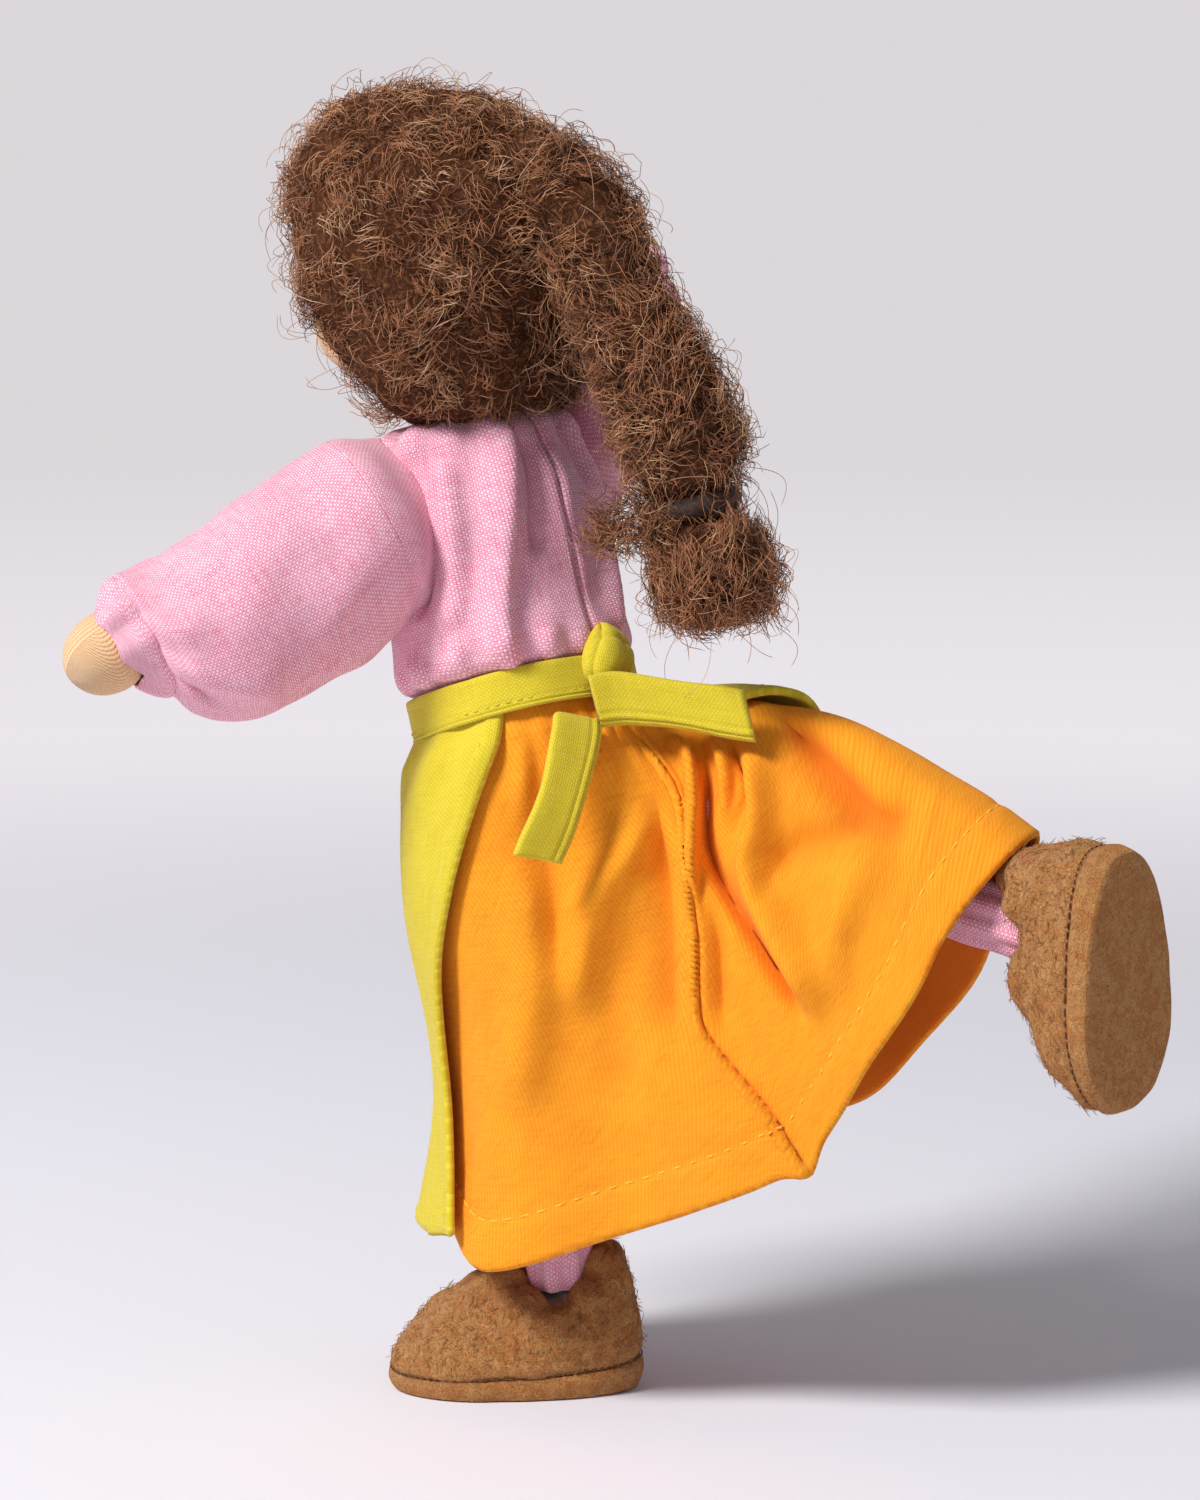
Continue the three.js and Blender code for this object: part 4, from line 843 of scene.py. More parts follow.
TAIL_SHARES = [
    [-0.03, 0.2, 0.2],
    [-0.07, 0.33, 0.12],
    [-0.09, 0.47, -0.09],
    [-0.14, 0.58, -0.33],
    [-0.165, 0.63, -0.53],
    [-0.185, 0.645, -0.65],
    [-0.2, 0.655, -0.76],
]
TAIL = smooth_line(np.array(TAIL_SHARES) * 39 + HEAD_CENTRE)
TIE_SHARE = 0.76
TAIL_GIRTH = [
    # share of the tail's line, and radius in mm
    [0, 4.3],
    [0.11, 4.9],
    [0.22, 4.5],
    [0.33, 4.1],
    [0.44, 4.6],
    [0.55, 5.2],
    [0.66, 5.1],
    [0.72, 4.2],
    [0.757, 2.3],
]
TUFT_GIRTH = [[0.763, 2.3], [0.8, 3.8], [0.86, 5.4], [0.91, 5.7], [0.94, 4.8]]


def tail_rings(share, girth, angle):
    """Rings along the line of the tail, lumpy as its curls bulge."""
    ring = spokes(basis(heading_at(TAIL, share))[:, None], angle)
    return at(TAIL, share)[:, None] + ring * girth[..., None], ring


def locks(rng, spots, outs, flows, strands_each, length, spread, lift):
    """Curled locks. Each is a helix laid along its flow on the surface; its strands share the curl but
    differ in phase, width, lean and place.

    point = spot + flow * length * (s - 1/2) + curl * (cos t * out + sin t * side), t = turns * s round."""
    curl, turns, steps = CURL_RADIUS, CURL_TURNS, 9
    n = len(spots)
    lock = np.repeat(np.arange(n), strands_each)
    m = len(lock)
    s = np.linspace(0, 1, steps)
    spot, out = spots[lock], outs[lock]
    flow = flows[lock] + rng.normal(0, 0.3, (m, 3))
    flow = unit(flow - out * np.sum(flow * out, -1, keepdims=True))
    side = np.cross(out, flow)
    long = (length * rng.uniform(0.6, 1.4, n))[lock] * rng.uniform(0.6, 1.3, m)
    wide = (curl * rng.uniform(0.5, 1.5, n))[lock] * rng.uniform(0.4, 1.35, m)
    rounds = (turns * rng.uniform(0.7, 1.3, n) * rng.choice([-1, 1], n))[lock] * rng.uniform(0.8, 1.2, m)
    phase = rng.uniform(0, TURN, n)[lock] + rng.normal(0, 0.6, m)
    t = rounds[:, None] * s * TURN + phase[:, None]
    taper = np.sin(np.pi * np.clip(s, 0.04, 0.96)) ** 0.35
    high = rng.normal(0, 0.28, n)[lock]
    jitter = rng.normal(0, spread, (m, 3)) + out * high[:, None]
    lines = (
        (spot + jitter)[:, None]
        + flow[:, None] * (long[:, None] * (s - 0.5))[..., None]
        + out[:, None] * (wide[:, None] * np.cos(t) * taper + lift)[..., None]
        + side[:, None] * (wide[:, None] * np.sin(t) * taper)[..., None]
    )
    # Painted shade and highlight: a strand is darker near the scalp and paler where its curl stands out,
    # over a random tone for each lock and strand.
    raised = np.clip((wide[:, None] * np.cos(t) + high[:, None] + 0.5) / 1.6, 0, 1)
    tone = 0.08 + 0.62 * raised + rng.uniform(-0.12, 0.16, n)[lock][:, None] + rng.normal(0, 0.09, (m, 1))
    return lines, np.clip(tone, 0, 1)


def hair_flows(rng, outs, pull, wild):
    """Unit directions on the surface: a pull along it, turned at random by as much as wild."""
    loose = pull + rng.normal(0, wild, outs.shape)
    return unit(loose - outs * np.sum(loose * outs, -1, keepdims=True))


# Blouse

BLOUSE_SHARES = [
    # shares of the torso's length, then of the blouse's half width and half depth
    [-0.03, 0.76, 0.86],
    [0.075, 0.83, 0.92],
    [0.13, 1, 1.03],
    [0.3, 1, 1],
    [0.52, 0.98, 0.98],
    [0.72, 0.98, 0.96],
    [0.86, 0.92, 0.88],
    [0.94, 0.9, 0.82],
    [0.985, 0.8, 0.7],
    [1.01, 0.6, 0.56],
    [1.03, 0.31, 0.34],
]
BLOUSE_HALF = (9.9, 8.8)
BLOUSE_GIRTH_RADIUS = 9.3
BLOUSE_TOP, BLOUSE_FOOT = 1.03, -0.03
BLOUSE_FOLDS = [
    # height of the ridge in mm, its widths to the doll's left and right of it, and its path as
    # (degrees round from the back by the left, share of the torso's length)
    (1.5, (1.9, 0.5), [(17, 1.0), (18.5, 0.861), (25, 0.69), (32.5, 0.503), (39, 0.3), (41, 0.15), (42, 0)]),
    (-1.0, (0.6, 1.6), [(5, 0.95), (8, 0.8), (14, 0.62), (20, 0.45)]),
    (0.3, (0.9, 1.2), [(-7, 1.05), (-6, 0.8), (-5, 0.654), (-4.5, 0.439), (-3, 0.137), (-3, -0.05)]),
    (-0.7, (0.22, 0.22), [(-7, 1.05), (-6, 0.8), (-5, 0.654), (-4.5, 0.439), (-3, 0.137), (-3, -0.05)]),
    (-1.3, (0.7, 0.9), [(80, 0.8), (76, 0.686), (78, 0.5), (88, 0.32)]),
    (0.9, (1.3, 1.0), [(56, 0.9), (55, 0.7), (60, 0.45), (66, 0.25)]),
    (0.9, (1.2, 0.7), [(-30, 1.0), (-38, 0.8), (-42, 0.6), (-30, 0.35), (-20, 0.1)]),
    (-0.8, (1.0, 1.0), [(-22, 0.98), (-30, 0.82), (-32, 0.66)]),
    (0.5, (0.9, 0.9), [(96, 0.24), (94, 0.12), (93, 0.0)]),
    (0.45, (0.8, 0.8), [(82, 0.2), (80, 0.12), (79, 0.0)]),
    (0.55, (0.9, 0.7), [(64, 0.26), (67, 0.12), (68, 0.0)]),
    (0.45, (0.8, 0.8), [(22, 0.22), (22, 0.12), (22, 0.0)]),
    (0.7, (1.6, 1.6), [(150, 0.85), (158, 0.6), (164, 0.3), (166, 0.05)]),
    (0.7, (1.6, 1.6), [(206, 0.85), (200, 0.6), (194, 0.3), (192, 0.05)]),
]


def blouse_cut(rows, columns):
    """The plain tube that the blouse is cut as, which its threads follow."""
    share = np.linspace(BLOUSE_TOP, BLOUSE_FOOT, rows)[:, None]
    return torso_rings(share, *BLOUSE_HALF, circle(columns)[None])


def blouse_grid(rows, columns, out=0.0):
    """Ellipses whose halves come from a table of the torso's length, with gathers at neck and waist
    and with ridges along drawn folds."""
    share = np.linspace(BLOUSE_TOP, BLOUSE_FOOT, rows)[:, None]
    angle = circle(columns)[None]
    width, depth = table(share, BLOUSE_SHARES)
    ring = torso_rings(share, width * BLOUSE_HALF[0], depth * BLOUSE_HALF[1], angle)
    relief = np.sin(17 * angle + 2.2 * np.sin(3 * angle)) * 0.42 * bell(share - 0.1, 0.09)
    relief = relief + np.sin(15 * angle + 1.5 * np.sin(2 * angle)) * 0.25 * bell(share - 0.95, 0.07)
    relief = relief + 0.2 * ripple(ring, 9, 4) + 0.1 * ripple(ring, 4, 5)
    relief = relief + drawn_folds(BLOUSE_FOLDS, angle, share, BLOUSE_GIRTH_RADIUS, -TORSO_LENGTH)
    relief = relief * smooth(share, 0.06, 0.19)
    return ring + normals(ring) * (relief + out)[..., None], relief


SLEEVE_SHARES = [
    # shares of the way from the seam to the wrist, then of the girth and the sag
    [0, 0.95, 0.56],
    [0.1, 0.99, 0.74],
    [0.25, 1.01, 0.97],
    [0.45, 1, 1],
    [0.66, 0.96, 1],
    [0.82, 0.87, 0.9],
    [0.92, 0.79, 0.6],
    [0.97, 0.73, 0.34],
    [1, 0.62, 0.12],
]
SLEEVE_RADIUS, SLEEVE_SAG, SLEEVE_SEAM, CUFF_GAP = 8.0, 3.3, 4.0, 0.85
SLEEVE_LENGTH = UPPER_ARM + FOREARM - SLEEVE_SEAM - CUFF_GAP
CUFF_RADIUS, CUFF_LENGTH, CUFF_THREAD_RADIUS = 4.62, 3.0, 3.8
HAND_HALF = [3.5, 3.3, 3.8]
SLEEVE_FOLDS = {
    # height in mm, widths, and path as (degrees round from the underside, share of the length)
    "left": [
        (0.8, (1.0, 1.8), [(80, 1.0), (74, 0.9), (60, 0.75), (40, 0.6)]),
        (-0.9, (1.2, 1.2), [(62, 1.0), (52, 0.9), (34, 0.8)]),
        (0.6, (1.6, 1.6), [(105, 1.0), (108, 0.88), (118, 0.72)]),
        (-0.45, (2.2, 2.2), [(120, 0.1), (112, 0.3), (100, 0.5)]),
        (-0.4, (2.4, 2.4), [(70, 0.05), (60, 0.2), (40, 0.35)]),
        (0.7, (1.2, 1.6), [(200, 1.0), (205, 0.85), (212, 0.7)]),
        (-0.8, (1.2, 1.2), [(300, 1.0), (296, 0.85), (290, 0.75)]),
        (-0.5, (2.0, 2.0), [(250, 0.2), (258, 0.4), (270, 0.6)]),
    ],
    "right": [
        (0.8, (1.0, 1.8), [(80, 1.0), (84, 0.9), (90, 0.7)]),
        (-0.8, (1.2, 1.2), [(110, 1.0), (120, 0.86), (130, 0.7)]),
        (0.7, (1.2, 1.6), [(250, 1.0), (240, 0.85), (230, 0.7)]),
        (-0.8, (1.2, 1.2), [(290, 1.0), (296, 0.85), (290, 0.75)]),
        (-0.5, (2.0, 2.0), [(250, 0.15), (240, 0.4), (230, 0.6)]),
        (-0.5, (2.0, 2.0), [(70, 0.05), (80, 0.3), (96, 0.5)]),
    ],
}


def sleeve_frame(side):
    """A basis along the arm, and the angle of its underside, where the sleeve is sewn."""
    turn = basis(ARM[side])
    return turn, np.arctan2(-turn[2, 1], -turn[2, 0])


def sleeve_cut(side, rows, columns):
    """The plain tube that the sleeve is cut as, which its threads follow."""
    turn, under = sleeve_frame(side)
    along = np.linspace(0, SLEEVE_LENGTH, rows)[:, None, None]
    ring = spokes(turn, under + circle(columns)) * SLEEVE_RADIUS
    return SHOULDER[side] + ARM[side] * (SLEEVE_SEAM + along) + ring


def sleeve_grid(side, rows, columns):
    """Rings round the arm that sag below it and are gathered into the cuff, with drawn folds and a
    groove where the shoulder's seam draws them in."""
    share = np.linspace(0, 1, rows)[:, None]
    turn, under = sleeve_frame(side)
    angle = circle(columns)[None]
    girth, sag = table(share, SLEEVE_SHARES)
    ring = spokes(turn, under + angle)
    line = SHOULDER[side] + ARM[side] * (SLEEVE_SEAM + share * SLEEVE_LENGTH)[..., None]
    base = line - Z * (SLEEVE_SAG * sag)[..., None] + ring * (SLEEVE_RADIUS * girth)[..., None]
    seed = 11 if side == "left" else 23
    gather = np.sin(13 * (under + angle) + 1.6 * np.sin(2 * (under + angle) + seed) + 1.5 * share)
    uneven = 0.35 * ripple(base, 11, seed) + 0.12 * ripple(base, 4.5, seed + 1)
    relief = 0.22 * gather * smooth(share, 0.8, 0.98) + uneven * np.sin(np.pi * np.clip(share + 0.12, 0, 1))
    relief = relief + drawn_folds(SLEEVE_FOLDS[side], angle, share, SLEEVE_RADIUS * 0.9, SLEEVE_LENGTH)
    relief = relief * smooth(share, -0.05, 0.1) - 0.06 * bell(share * SLEEVE_LENGTH, 0.6)
    return base + ring * relief[..., None], relief


ARMHOLES = {"left": (0.655, 0.325, 48), "right": (0.71, 0.275, 50)}


def yoke_grid(side, rows, columns):
    """The shoulder cloth: a smooth join from the armhole on the blouse to the sleeve's first ring, each
    of its threads a cubic that leaves the blouse and meets the sleeve along the arm. The armhole is an
    oval about a share of the torso's length, as high as its second figure and as many degrees wide."""
    turn, under = sleeve_frame(side)
    ring = spokes(turn, under + circle(columns))
    last = sleeve_grid(side, 60, columns)[0][0]
    over = unit(np.cross(TORSO_UP, ARM[side]))
    middle, high, wide = ARMHOLES[side]
    facing = np.degrees(np.arctan2(ARM[side][0], ARM[side][1]))
    round_torso = np.radians(facing - wide * (ring @ over)) / TURN
    share = middle + high * (ring @ unit(np.cross(ARM[side], over)))
    blouse = blouse_grid(160, 240, 0.2)[0]
    first = on_grid(blouse, (BLOUSE_TOP - share) / (BLOUSE_TOP - BLOUSE_FOOT), round_torso)
    reach = np.linalg.norm(last - first, axis=-1, keepdims=True)
    chord = unit(last - first)
    leave = (0.85 * chord + 0.15 * ARM[side]) * reach
    meet = (0.6 * chord + 0.4 * ARM[side]) * reach
    t = np.linspace(0, 1, rows)[:, None, None]
    curve = (2 * t**3 - 3 * t**2 + 1) * first + (t**3 - 2 * t**2 + t) * leave
    curve = curve + (3 * t**2 - 2 * t**3) * last + (t**3 - t**2) * meet
    out = normals(curve)
    out = out * np.sign(np.sum(out * (curve - first.mean(0)), -1).mean())
    seed = 5 if side == "left" else 9
    relief = (0.3 * ripple(curve, 6, seed) + 0.25) * np.sin(np.pi * t[..., 0])
    return curve + out * relief[..., None]


# Skirt

SKIRT_LENGTH = 46.0
WAIST_RADIUS, WAIST_DROP = 8.9, 2.35
SKIRT_BAND = {"radius": 8.4, "thick": 0.4, "height": 2.9}
HEM_SHARES = [
    [-0.083, 0.648, -0.75],
    [0.011, 0.472, -0.859],
    [0.091, 0.307, -0.93],
    [0.204, 0.112, -1.002],
    [0.172, -0.022, -0.98],
    [0.106, -0.118, -0.97],
    [0.015, -0.19, -0.975],
    [-0.09, -0.21, -0.975],
    [-0.21, -0.12, -0.96],
    [-0.3, 0.04, -0.92],
    [-0.345, 0.22, -0.87],
    [-0.365, 0.407, -0.785],
    [-0.411, 0.596, -0.609],
    [-0.433, 0.75, -0.422],
    [-0.417, 0.86, -0.2],
    [-0.32, 0.9, -0.21],
    [-0.237, 0.865, -0.32],
    [-0.198, 0.843, -0.38],
    [-0.128, 0.765, -0.557],
]
HEM = smooth_line(np.array(HEM_SHARES) * SKIRT_LENGTH, True, 1900)
SKIRT_FOLDS = [
    # height of the ridge in mm, its widths to the doll's left and right of it, and its path as
    # (share of the way round from the back seam by the left, share of the way down)
    (0.6, (0.3, 0.8), [(-0.031, 0.05), (-0.044, 0.143), (-0.048, 0.236), (-0.037, 0.297), (-0.017, 0.359),
      (0.001, 0.452), (0.013, 0.529), (0.024, 0.591), (0.033, 0.672), (0.027, 0.745), (0.014, 0.865),
      (0.003, 1.05)]),
    (-0.7, (0.3, 0.35), [(-0.034, 0.05), (-0.047, 0.143), (-0.051, 0.236), (-0.04, 0.297), (-0.02, 0.359),
      (-0.002, 0.452), (0.01, 0.529), (0.021, 0.591), (0.03, 0.672), (0.024, 0.745), (0.011, 0.865),
      (0.0, 1.05)]),
    (-0.9, (2.6, 0.9), [(-0.02, 0.2), (0.0, 0.33), (0.018, 0.44), (0.034, 0.53), (0.047, 0.62),
      (0.053, 0.72)]),
    (1.2, (0.9, 0.6), [(-0.09, 0.12), (-0.095, 0.2), (-0.066, 0.29), (-0.04, 0.34), (-0.019, 0.39),
      (0.004, 0.48)]),
    (-1.25, (0.8, 1.5), [(-0.118, 0.2), (-0.108, 0.251), (-0.071, 0.317), (-0.046, 0.382), (-0.037, 0.475),
      (-0.038, 0.587), (-0.039, 0.699), (-0.041, 0.776), (-0.05, 0.84)]),
    (-0.8, (1.0, 1.4), [(-0.022, 0.448), (-0.008, 0.544), (0.006, 0.62), (0.014, 0.69), (0.0, 0.73)]),
    (1.3, (0.9, 0.8), [(-0.135, 0.24), (-0.119, 0.317), (-0.104, 0.347), (-0.081, 0.371), (-0.06, 0.378)]),
    (-0.9, (0.7, 1.0), [(-0.15, 0.28), (-0.124, 0.367), (-0.11, 0.409), (-0.09, 0.417), (-0.066, 0.413)]),
    (1.5, (1.4, 2.4), [(-0.14, 0.33), (-0.121, 0.429), (-0.098, 0.479), (-0.071, 0.498), (-0.059, 0.625),
      (-0.057, 0.757), (-0.056, 0.88)]),
    (-1.55, (2.8, 1.5), [(-0.2, 0.36), (-0.187, 0.44), (-0.17, 0.544), (-0.16, 0.656), (-0.158, 0.745),
      (-0.166, 0.79), (-0.184, 0.83)]),
    (-0.9, (1.5, 1.9), [(-0.157, 0.757), (-0.13, 0.668), (-0.102, 0.583), (-0.084, 0.564), (-0.069, 0.591),
      (-0.051, 0.625)]),
    (0.9, (3.0, 2.6), [(-0.154, 0.84), (-0.116, 0.772), (-0.088, 0.792), (-0.074, 0.9)]),
    (-0.7, (2.6, 2.6), [(0.052, 0.36), (0.063, 0.467), (0.087, 0.591), (0.094, 0.707), (0.096, 0.82)]),
    (0.9, (2.0, 1.8), [(-0.02, 0.22), (0.03, 0.293), (0.08, 0.371), (0.105, 0.49), (0.118, 0.6)]),
    (0.8, (2.2, 2.2), [(0.142, 0.24), (0.143, 0.456), (0.159, 0.61), (0.165, 0.75)]),
    (-0.8, (1.8, 1.6), [(0.118, 0.12), (0.12, 0.25), (0.124, 0.4), (0.13, 0.52)]),
    (0.5, (1.0, 1.0), [(0.125, 0.0), (0.132, 0.1), (0.14, 0.22)]),
    (0.45, (1.0, 1.0), [(0.075, 0.0), (0.08, 0.09), (0.086, 0.2)]),
    (0.5, (0.9, 0.9), [(0.02, 0.0), (0.026, 0.1), (0.03, 0.22)]),
    (0.5, (0.9, 0.9), [(-0.075, 0.0), (-0.085, 0.06), (-0.1, 0.14)]),
]


def skirt_base(share, drop):
    """The middle of the cloth: straight lines from a circle at the band to the hem's curve, pushed out
    by the knee, by eight soft folds that deepen downwards, and up over the kicked leg. The folds are
    faint at the back, where drawn ones take their place. Its top is drawn in under the band."""
    r = share % 1
    a = TURN * r
    top = placed(from_back(WAIST_RADIUS, a, -WAIST_DROP), PELVIS)
    hem = at(HEM, r) + WAIST
    soft_folds = 0.9 * np.sin(8 * a) * drop * (1 - 0.85 * nearness(share, 0.985, 0.3))
    push = 2 * nearness(r, 0.36, 1 / 3) * np.sin(TURN * drop) + soft_folds
    lift = 5 * nearness(r, 0.8, 1 / 6) * np.sin(np.pi * drop)
    tuck = smooth(0.035 - drop, 0, 0.035)
    d = drop[..., None]
    base = top * (1 - d) + hem * d + from_back(1, a, 0) * (push - 0.75 * tuck)[..., None]
    return base + Z * lift[..., None] + PELVIS_UP * (1.3 * tuck)[..., None]


def skirt_shares(columns):
    """Shares of the way round, twice as close together at the back, where the folds are."""
    even = np.linspace(-0.5, 0.5, columns, endpoint=False)
    return (even - 0.075 * np.sin(TURN * even)) % 1


def skirt_grid(rows, columns):
    """The skirt's middle with its drawn folds, gathers below the band, small creases, and the corner
    that the back seam pulls down at the hem."""
    drop = np.linspace(0, 1, rows)[:, None] + np.zeros((1, columns))
    share = skirt_shares(columns)[None] + np.zeros((rows, 1))
    base = skirt_base(share, drop)
    out = normals(base)
    around = np.linalg.norm(np.roll(base, -1, 1) - base, axis=-1).sum(1)[:, None]
    turn = (share + 0.5) % 1 - 0.5
    flat = np.stack([turn * around, drop * SKIRT_LENGTH], -1)
    hidden = 1 - 0.7 * smooth(np.abs(turn), 0.1, 0.2)
    relief = 0.2 * np.sin(TURN * 29 * share + 2.5 * np.sin(TURN * 3 * share)) * bell(drop, 0.12) * hidden
    relief = relief + 0.2 * ripple(base, 12, 31) * smooth(drop, 0, 0.3) + 0.05 * ripple(base, 4, 32)
    for height, widths, path in SKIRT_FOLDS:
        shares, drops = np.array(path).T
        line = np.stack([shares * np.interp(drops, drop[:, 0], around[:, 0]), drops * SKIRT_LENGTH], -1)
        size = height * (1.6 if height > 0 else 1.35)
        narrow = widths[0] * 0.82, widths[1] * 0.82
        relief = relief + fold(flat, line, size, narrow, 6)
    relief = relief * smooth(drop, -0.02, 0.07)
    hem = 0.12 * bell((drop - 0.914) * SKIRT_LENGTH, 0.5)
    down = unit(np.gradient(base, axis=0))
    corner = 1.3 * bell(turn - 0.003, 0.011) * smooth(drop, 0.86, 1)
    shorter = 2.2 * smooth(nearness(share, 0.4, 0.225), 0, 0.3) * smooth(drop, 0.8, 1)
    return base + out * (relief - hem)[..., None] + down * (corner - shorter)[..., None], relief, drop


APRON_SHARE = 0.955
APRON_EDGES = [
    # share of the way down the skirt, then the shares of the way round of both edges
    [0, 0.15, 0.92],
    [0.13, 0.184, 0.88],
    [0.32, 0.213, 0.82],
    [0.45, 0.229, 0.78],
    [0.62, 0.234, 0.73],
    [0.8, 0.228, 0.68],
    [0.985, 0.208, 0.63],
]


def apron_grid(rows, columns):
    """The apron's middle: the skirt's own surface between two edges, lifted clear of it, with gathers
    below the band and a curl along the left edge. Its foot is a little shorter at that edge."""
    across = np.linspace(0, 1, columns)[None]
    longer = 0.055 * np.clip(across / 0.12, 0, 1) * smooth(across, 0.5, 0.3)
    drop = np.linspace(0.004, 1, rows)[:, None] * (APRON_SHARE + longer)
    low, high = table(drop, APRON_EDGES)
    share = low + (high - low) * across
    step = 0.004
    sideways = skirt_base(share + step, drop) - skirt_base(share - step, drop)
    down = skirt_base(share, np.clip(drop + step, 0, 1)) - skirt_base(share, np.clip(drop - step, 0, 1))
    base = skirt_base(share, drop)
    gather = 0.22 * np.sin(19 * across * np.pi + np.sin(5 * across)) * bell(drop - 0.06, 0.08)
    curl = 0.5 * bell(across, 0.03) * smooth(drop, 0.1, 0.5)
    relief = 0.62 + 0.5 * smooth(drop, 0, 0.06) + gather + 0.18 * ripple(base, 12, 41) + curl
    return base + unit(np.cross(sideways, down)) * relief[..., None]


# Shoes

TOE_WAY = np.array([0.7314, -0.682, 0])
KICKED_HEADING, KICKED_BEND = np.radians((187, 183))
ANKLE_HEIGHT, ANKLE_BACK = 10.8, 3.6
SHOE_HALF_WIDTH, SHOE_HALF_LENGTH = 5.9, 10.85
COLLAR_HALF_WIDTH, COLLAR_HALF_LENGTH, COLLAR_BACK = 4.3, 5.1, 3.4
SOLE_TOP, COLLAR_TOP, TOE_LIFT, HEEL_LIFT = 1.9, 7.5, 2.4, 4.1
SHOE_COLUMNS = 140
SHOE_FLOOR = np.array([[0.0]])


def shoe_rings(rise, angle, inset, collar_inset):
    """The upper in its own frame: a footprint that narrows to the collar along a super-ellipse.

    rise is 0 at the sole and 1 at the collar, and angle is 0 at the toe."""
    toe, side = np.cos(angle) + 0 * rise, np.sin(angle) + 0 * rise
    heel = (1 - toe) / 2
    sharp = 1.35 + 0.45 * heel
    inwards = 1 - np.cos(rise * np.pi / 2).clip(0, 1) ** (2 / sharp)
    upwards = np.sin(rise * np.pi / 2) ** (2 / sharp)
    width = (SHOE_HALF_WIDTH - inset) * (1 + 0.08 * toe + 0.1 * bell(toe - 0.4, 0.5))
    square = np.sign(side) * np.abs(side) ** 0.84, np.sign(toe) * np.abs(toe) ** 0.88
    foot = np.stack([width * square[0], (SHOE_HALF_LENGTH - inset) * square[1]], -1)
    collar_width, collar_length = COLLAR_HALF_WIDTH - collar_inset, COLLAR_HALF_LENGTH - collar_inset
    collar = np.stack([collar_width * side, collar_length * toe - COLLAR_BACK], -1)
    seam = SOLE_TOP + heel**2
    top = COLLAR_TOP + TOE_LIFT * np.maximum(0, toe) ** 2 + HEEL_LIFT * np.maximum(0, -toe) ** 2
    flat = foot + (collar - foot) * inwards[..., None]
    return np.concatenate([flat, (seam + (top - seam) * upwards)[..., None]], -1)


def shoe_place(side):
    """A shoe's own axes, x, y to the toe and z up the leg, and where their origin lies."""
    if side == "left":
        return basis(Z, np.cross(TOE_WAY, Z)), np.zeros(3)
    sole = np.array([np.sin(KICKED_HEADING), -np.cos(KICKED_HEADING), 0])
    toe = np.array(Quaternion(Vector(sole), KICKED_BEND) @ Vector(Z))
    return basis(-sole, np.cross(toe, -sole)), ANKLE["right"] + sole * ANKLE_HEIGHT + toe * ANKLE_BACK


# Threads and seams


def thread_ring(radius, rise, ply):
    """A thread tied in a circle at a height. ply is its thickness at each step round its own section,
    in rows, and along the circle, in columns."""
    around = circle(len(ply))[:, None]
    out, along = radius + ply * np.cos(around), circle(ply.shape[1])
    rings = np.broadcast_arrays(out * np.cos(along), out * np.sin(along), rise + ply * np.sin(around))
    return np.stack(rings, -1)


def twisted(sides, columns, thick, ridge, turns):
    """The ply of a thread twisted from two: an oval section that turns as it goes along."""
    return thick + ridge * np.cos(2 * circle(sides)[:, None] - turns * circle(columns))


def declare_sheet(grid, turned=0.0):
    """Works out what a cloth was cut to: as wide and as long as its longest rows and columns, with what is
    turned in at each end's seam. The result is neither kept nor returned."""
    across = np.linalg.norm(np.diff(grid, axis=1), axis=-1)
    down = np.linalg.norm(np.diff(grid, axis=0), axis=-1)
    crossed = np.cross(grid[:-1, 1:] - grid[1:, :-1], grid[:-1, :-1] - grid[1:, 1:])
    area = np.linalg.norm(crossed, axis=-1).sum() / 2
    closing = np.linalg.norm(grid[:, -1] - grid[:, 0], axis=-1)
    wide = (across.sum(1) + closing * (closing < 3 * across.mean(1))).max()
    long = down.sum(0).max() + 2 * turned
    if closing.mean() < 3 * across.mean():
        area *= 1 + 1 / across.shape[1]
    area = float(min(area, wide * long)) * MM**2


KICK_WAY = np.array([-0.326, 0.946, 0])


def bend_with_hip(piece):
    """Cloth over the kicked leg: places along a way from behind the hip go to bend, which keeps neither."""
    bend(piece, HIP["right"], KICK_WAY, 10, 38)


# What a user would change


class DollSizes(bpy.types.PropertyGroup):
    cloth: FloatProperty(
        name="Cloth", description="Thickness of the cotton", default=0.45 * MM, min=0.1 * MM, unit="LENGTH"
    )
    hem: FloatProperty(
        name="Skirt hem", description="From the hem's stitches to its edge", default=3.9 * MM, unit="LENGTH"
    )
    stitch: FloatProperty(
        name="Stitch", description="Length of a running stitch", default=1.15 * MM, unit="LENGTH"
    )
    strand: FloatProperty(
        name="Strand", description="Thickness of a strand of hair", default=0.07 * MM, unit="LENGTH"
    )
    locks: IntProperty(name="Locks", description="Locks of hair over the head", default=500, min=50)
    fuzz: IntProperty(name="Fuzz", description="Loose fibres on each shoe", default=1500, min=0)


def colour(name, description, *steps):
    """A colour to choose, with its default in display steps of 255."""
    return FloatVectorProperty(
        name=name, description=description, default=srgb(*steps), size=3, subtype="COLOR", min=0, max=1
    )


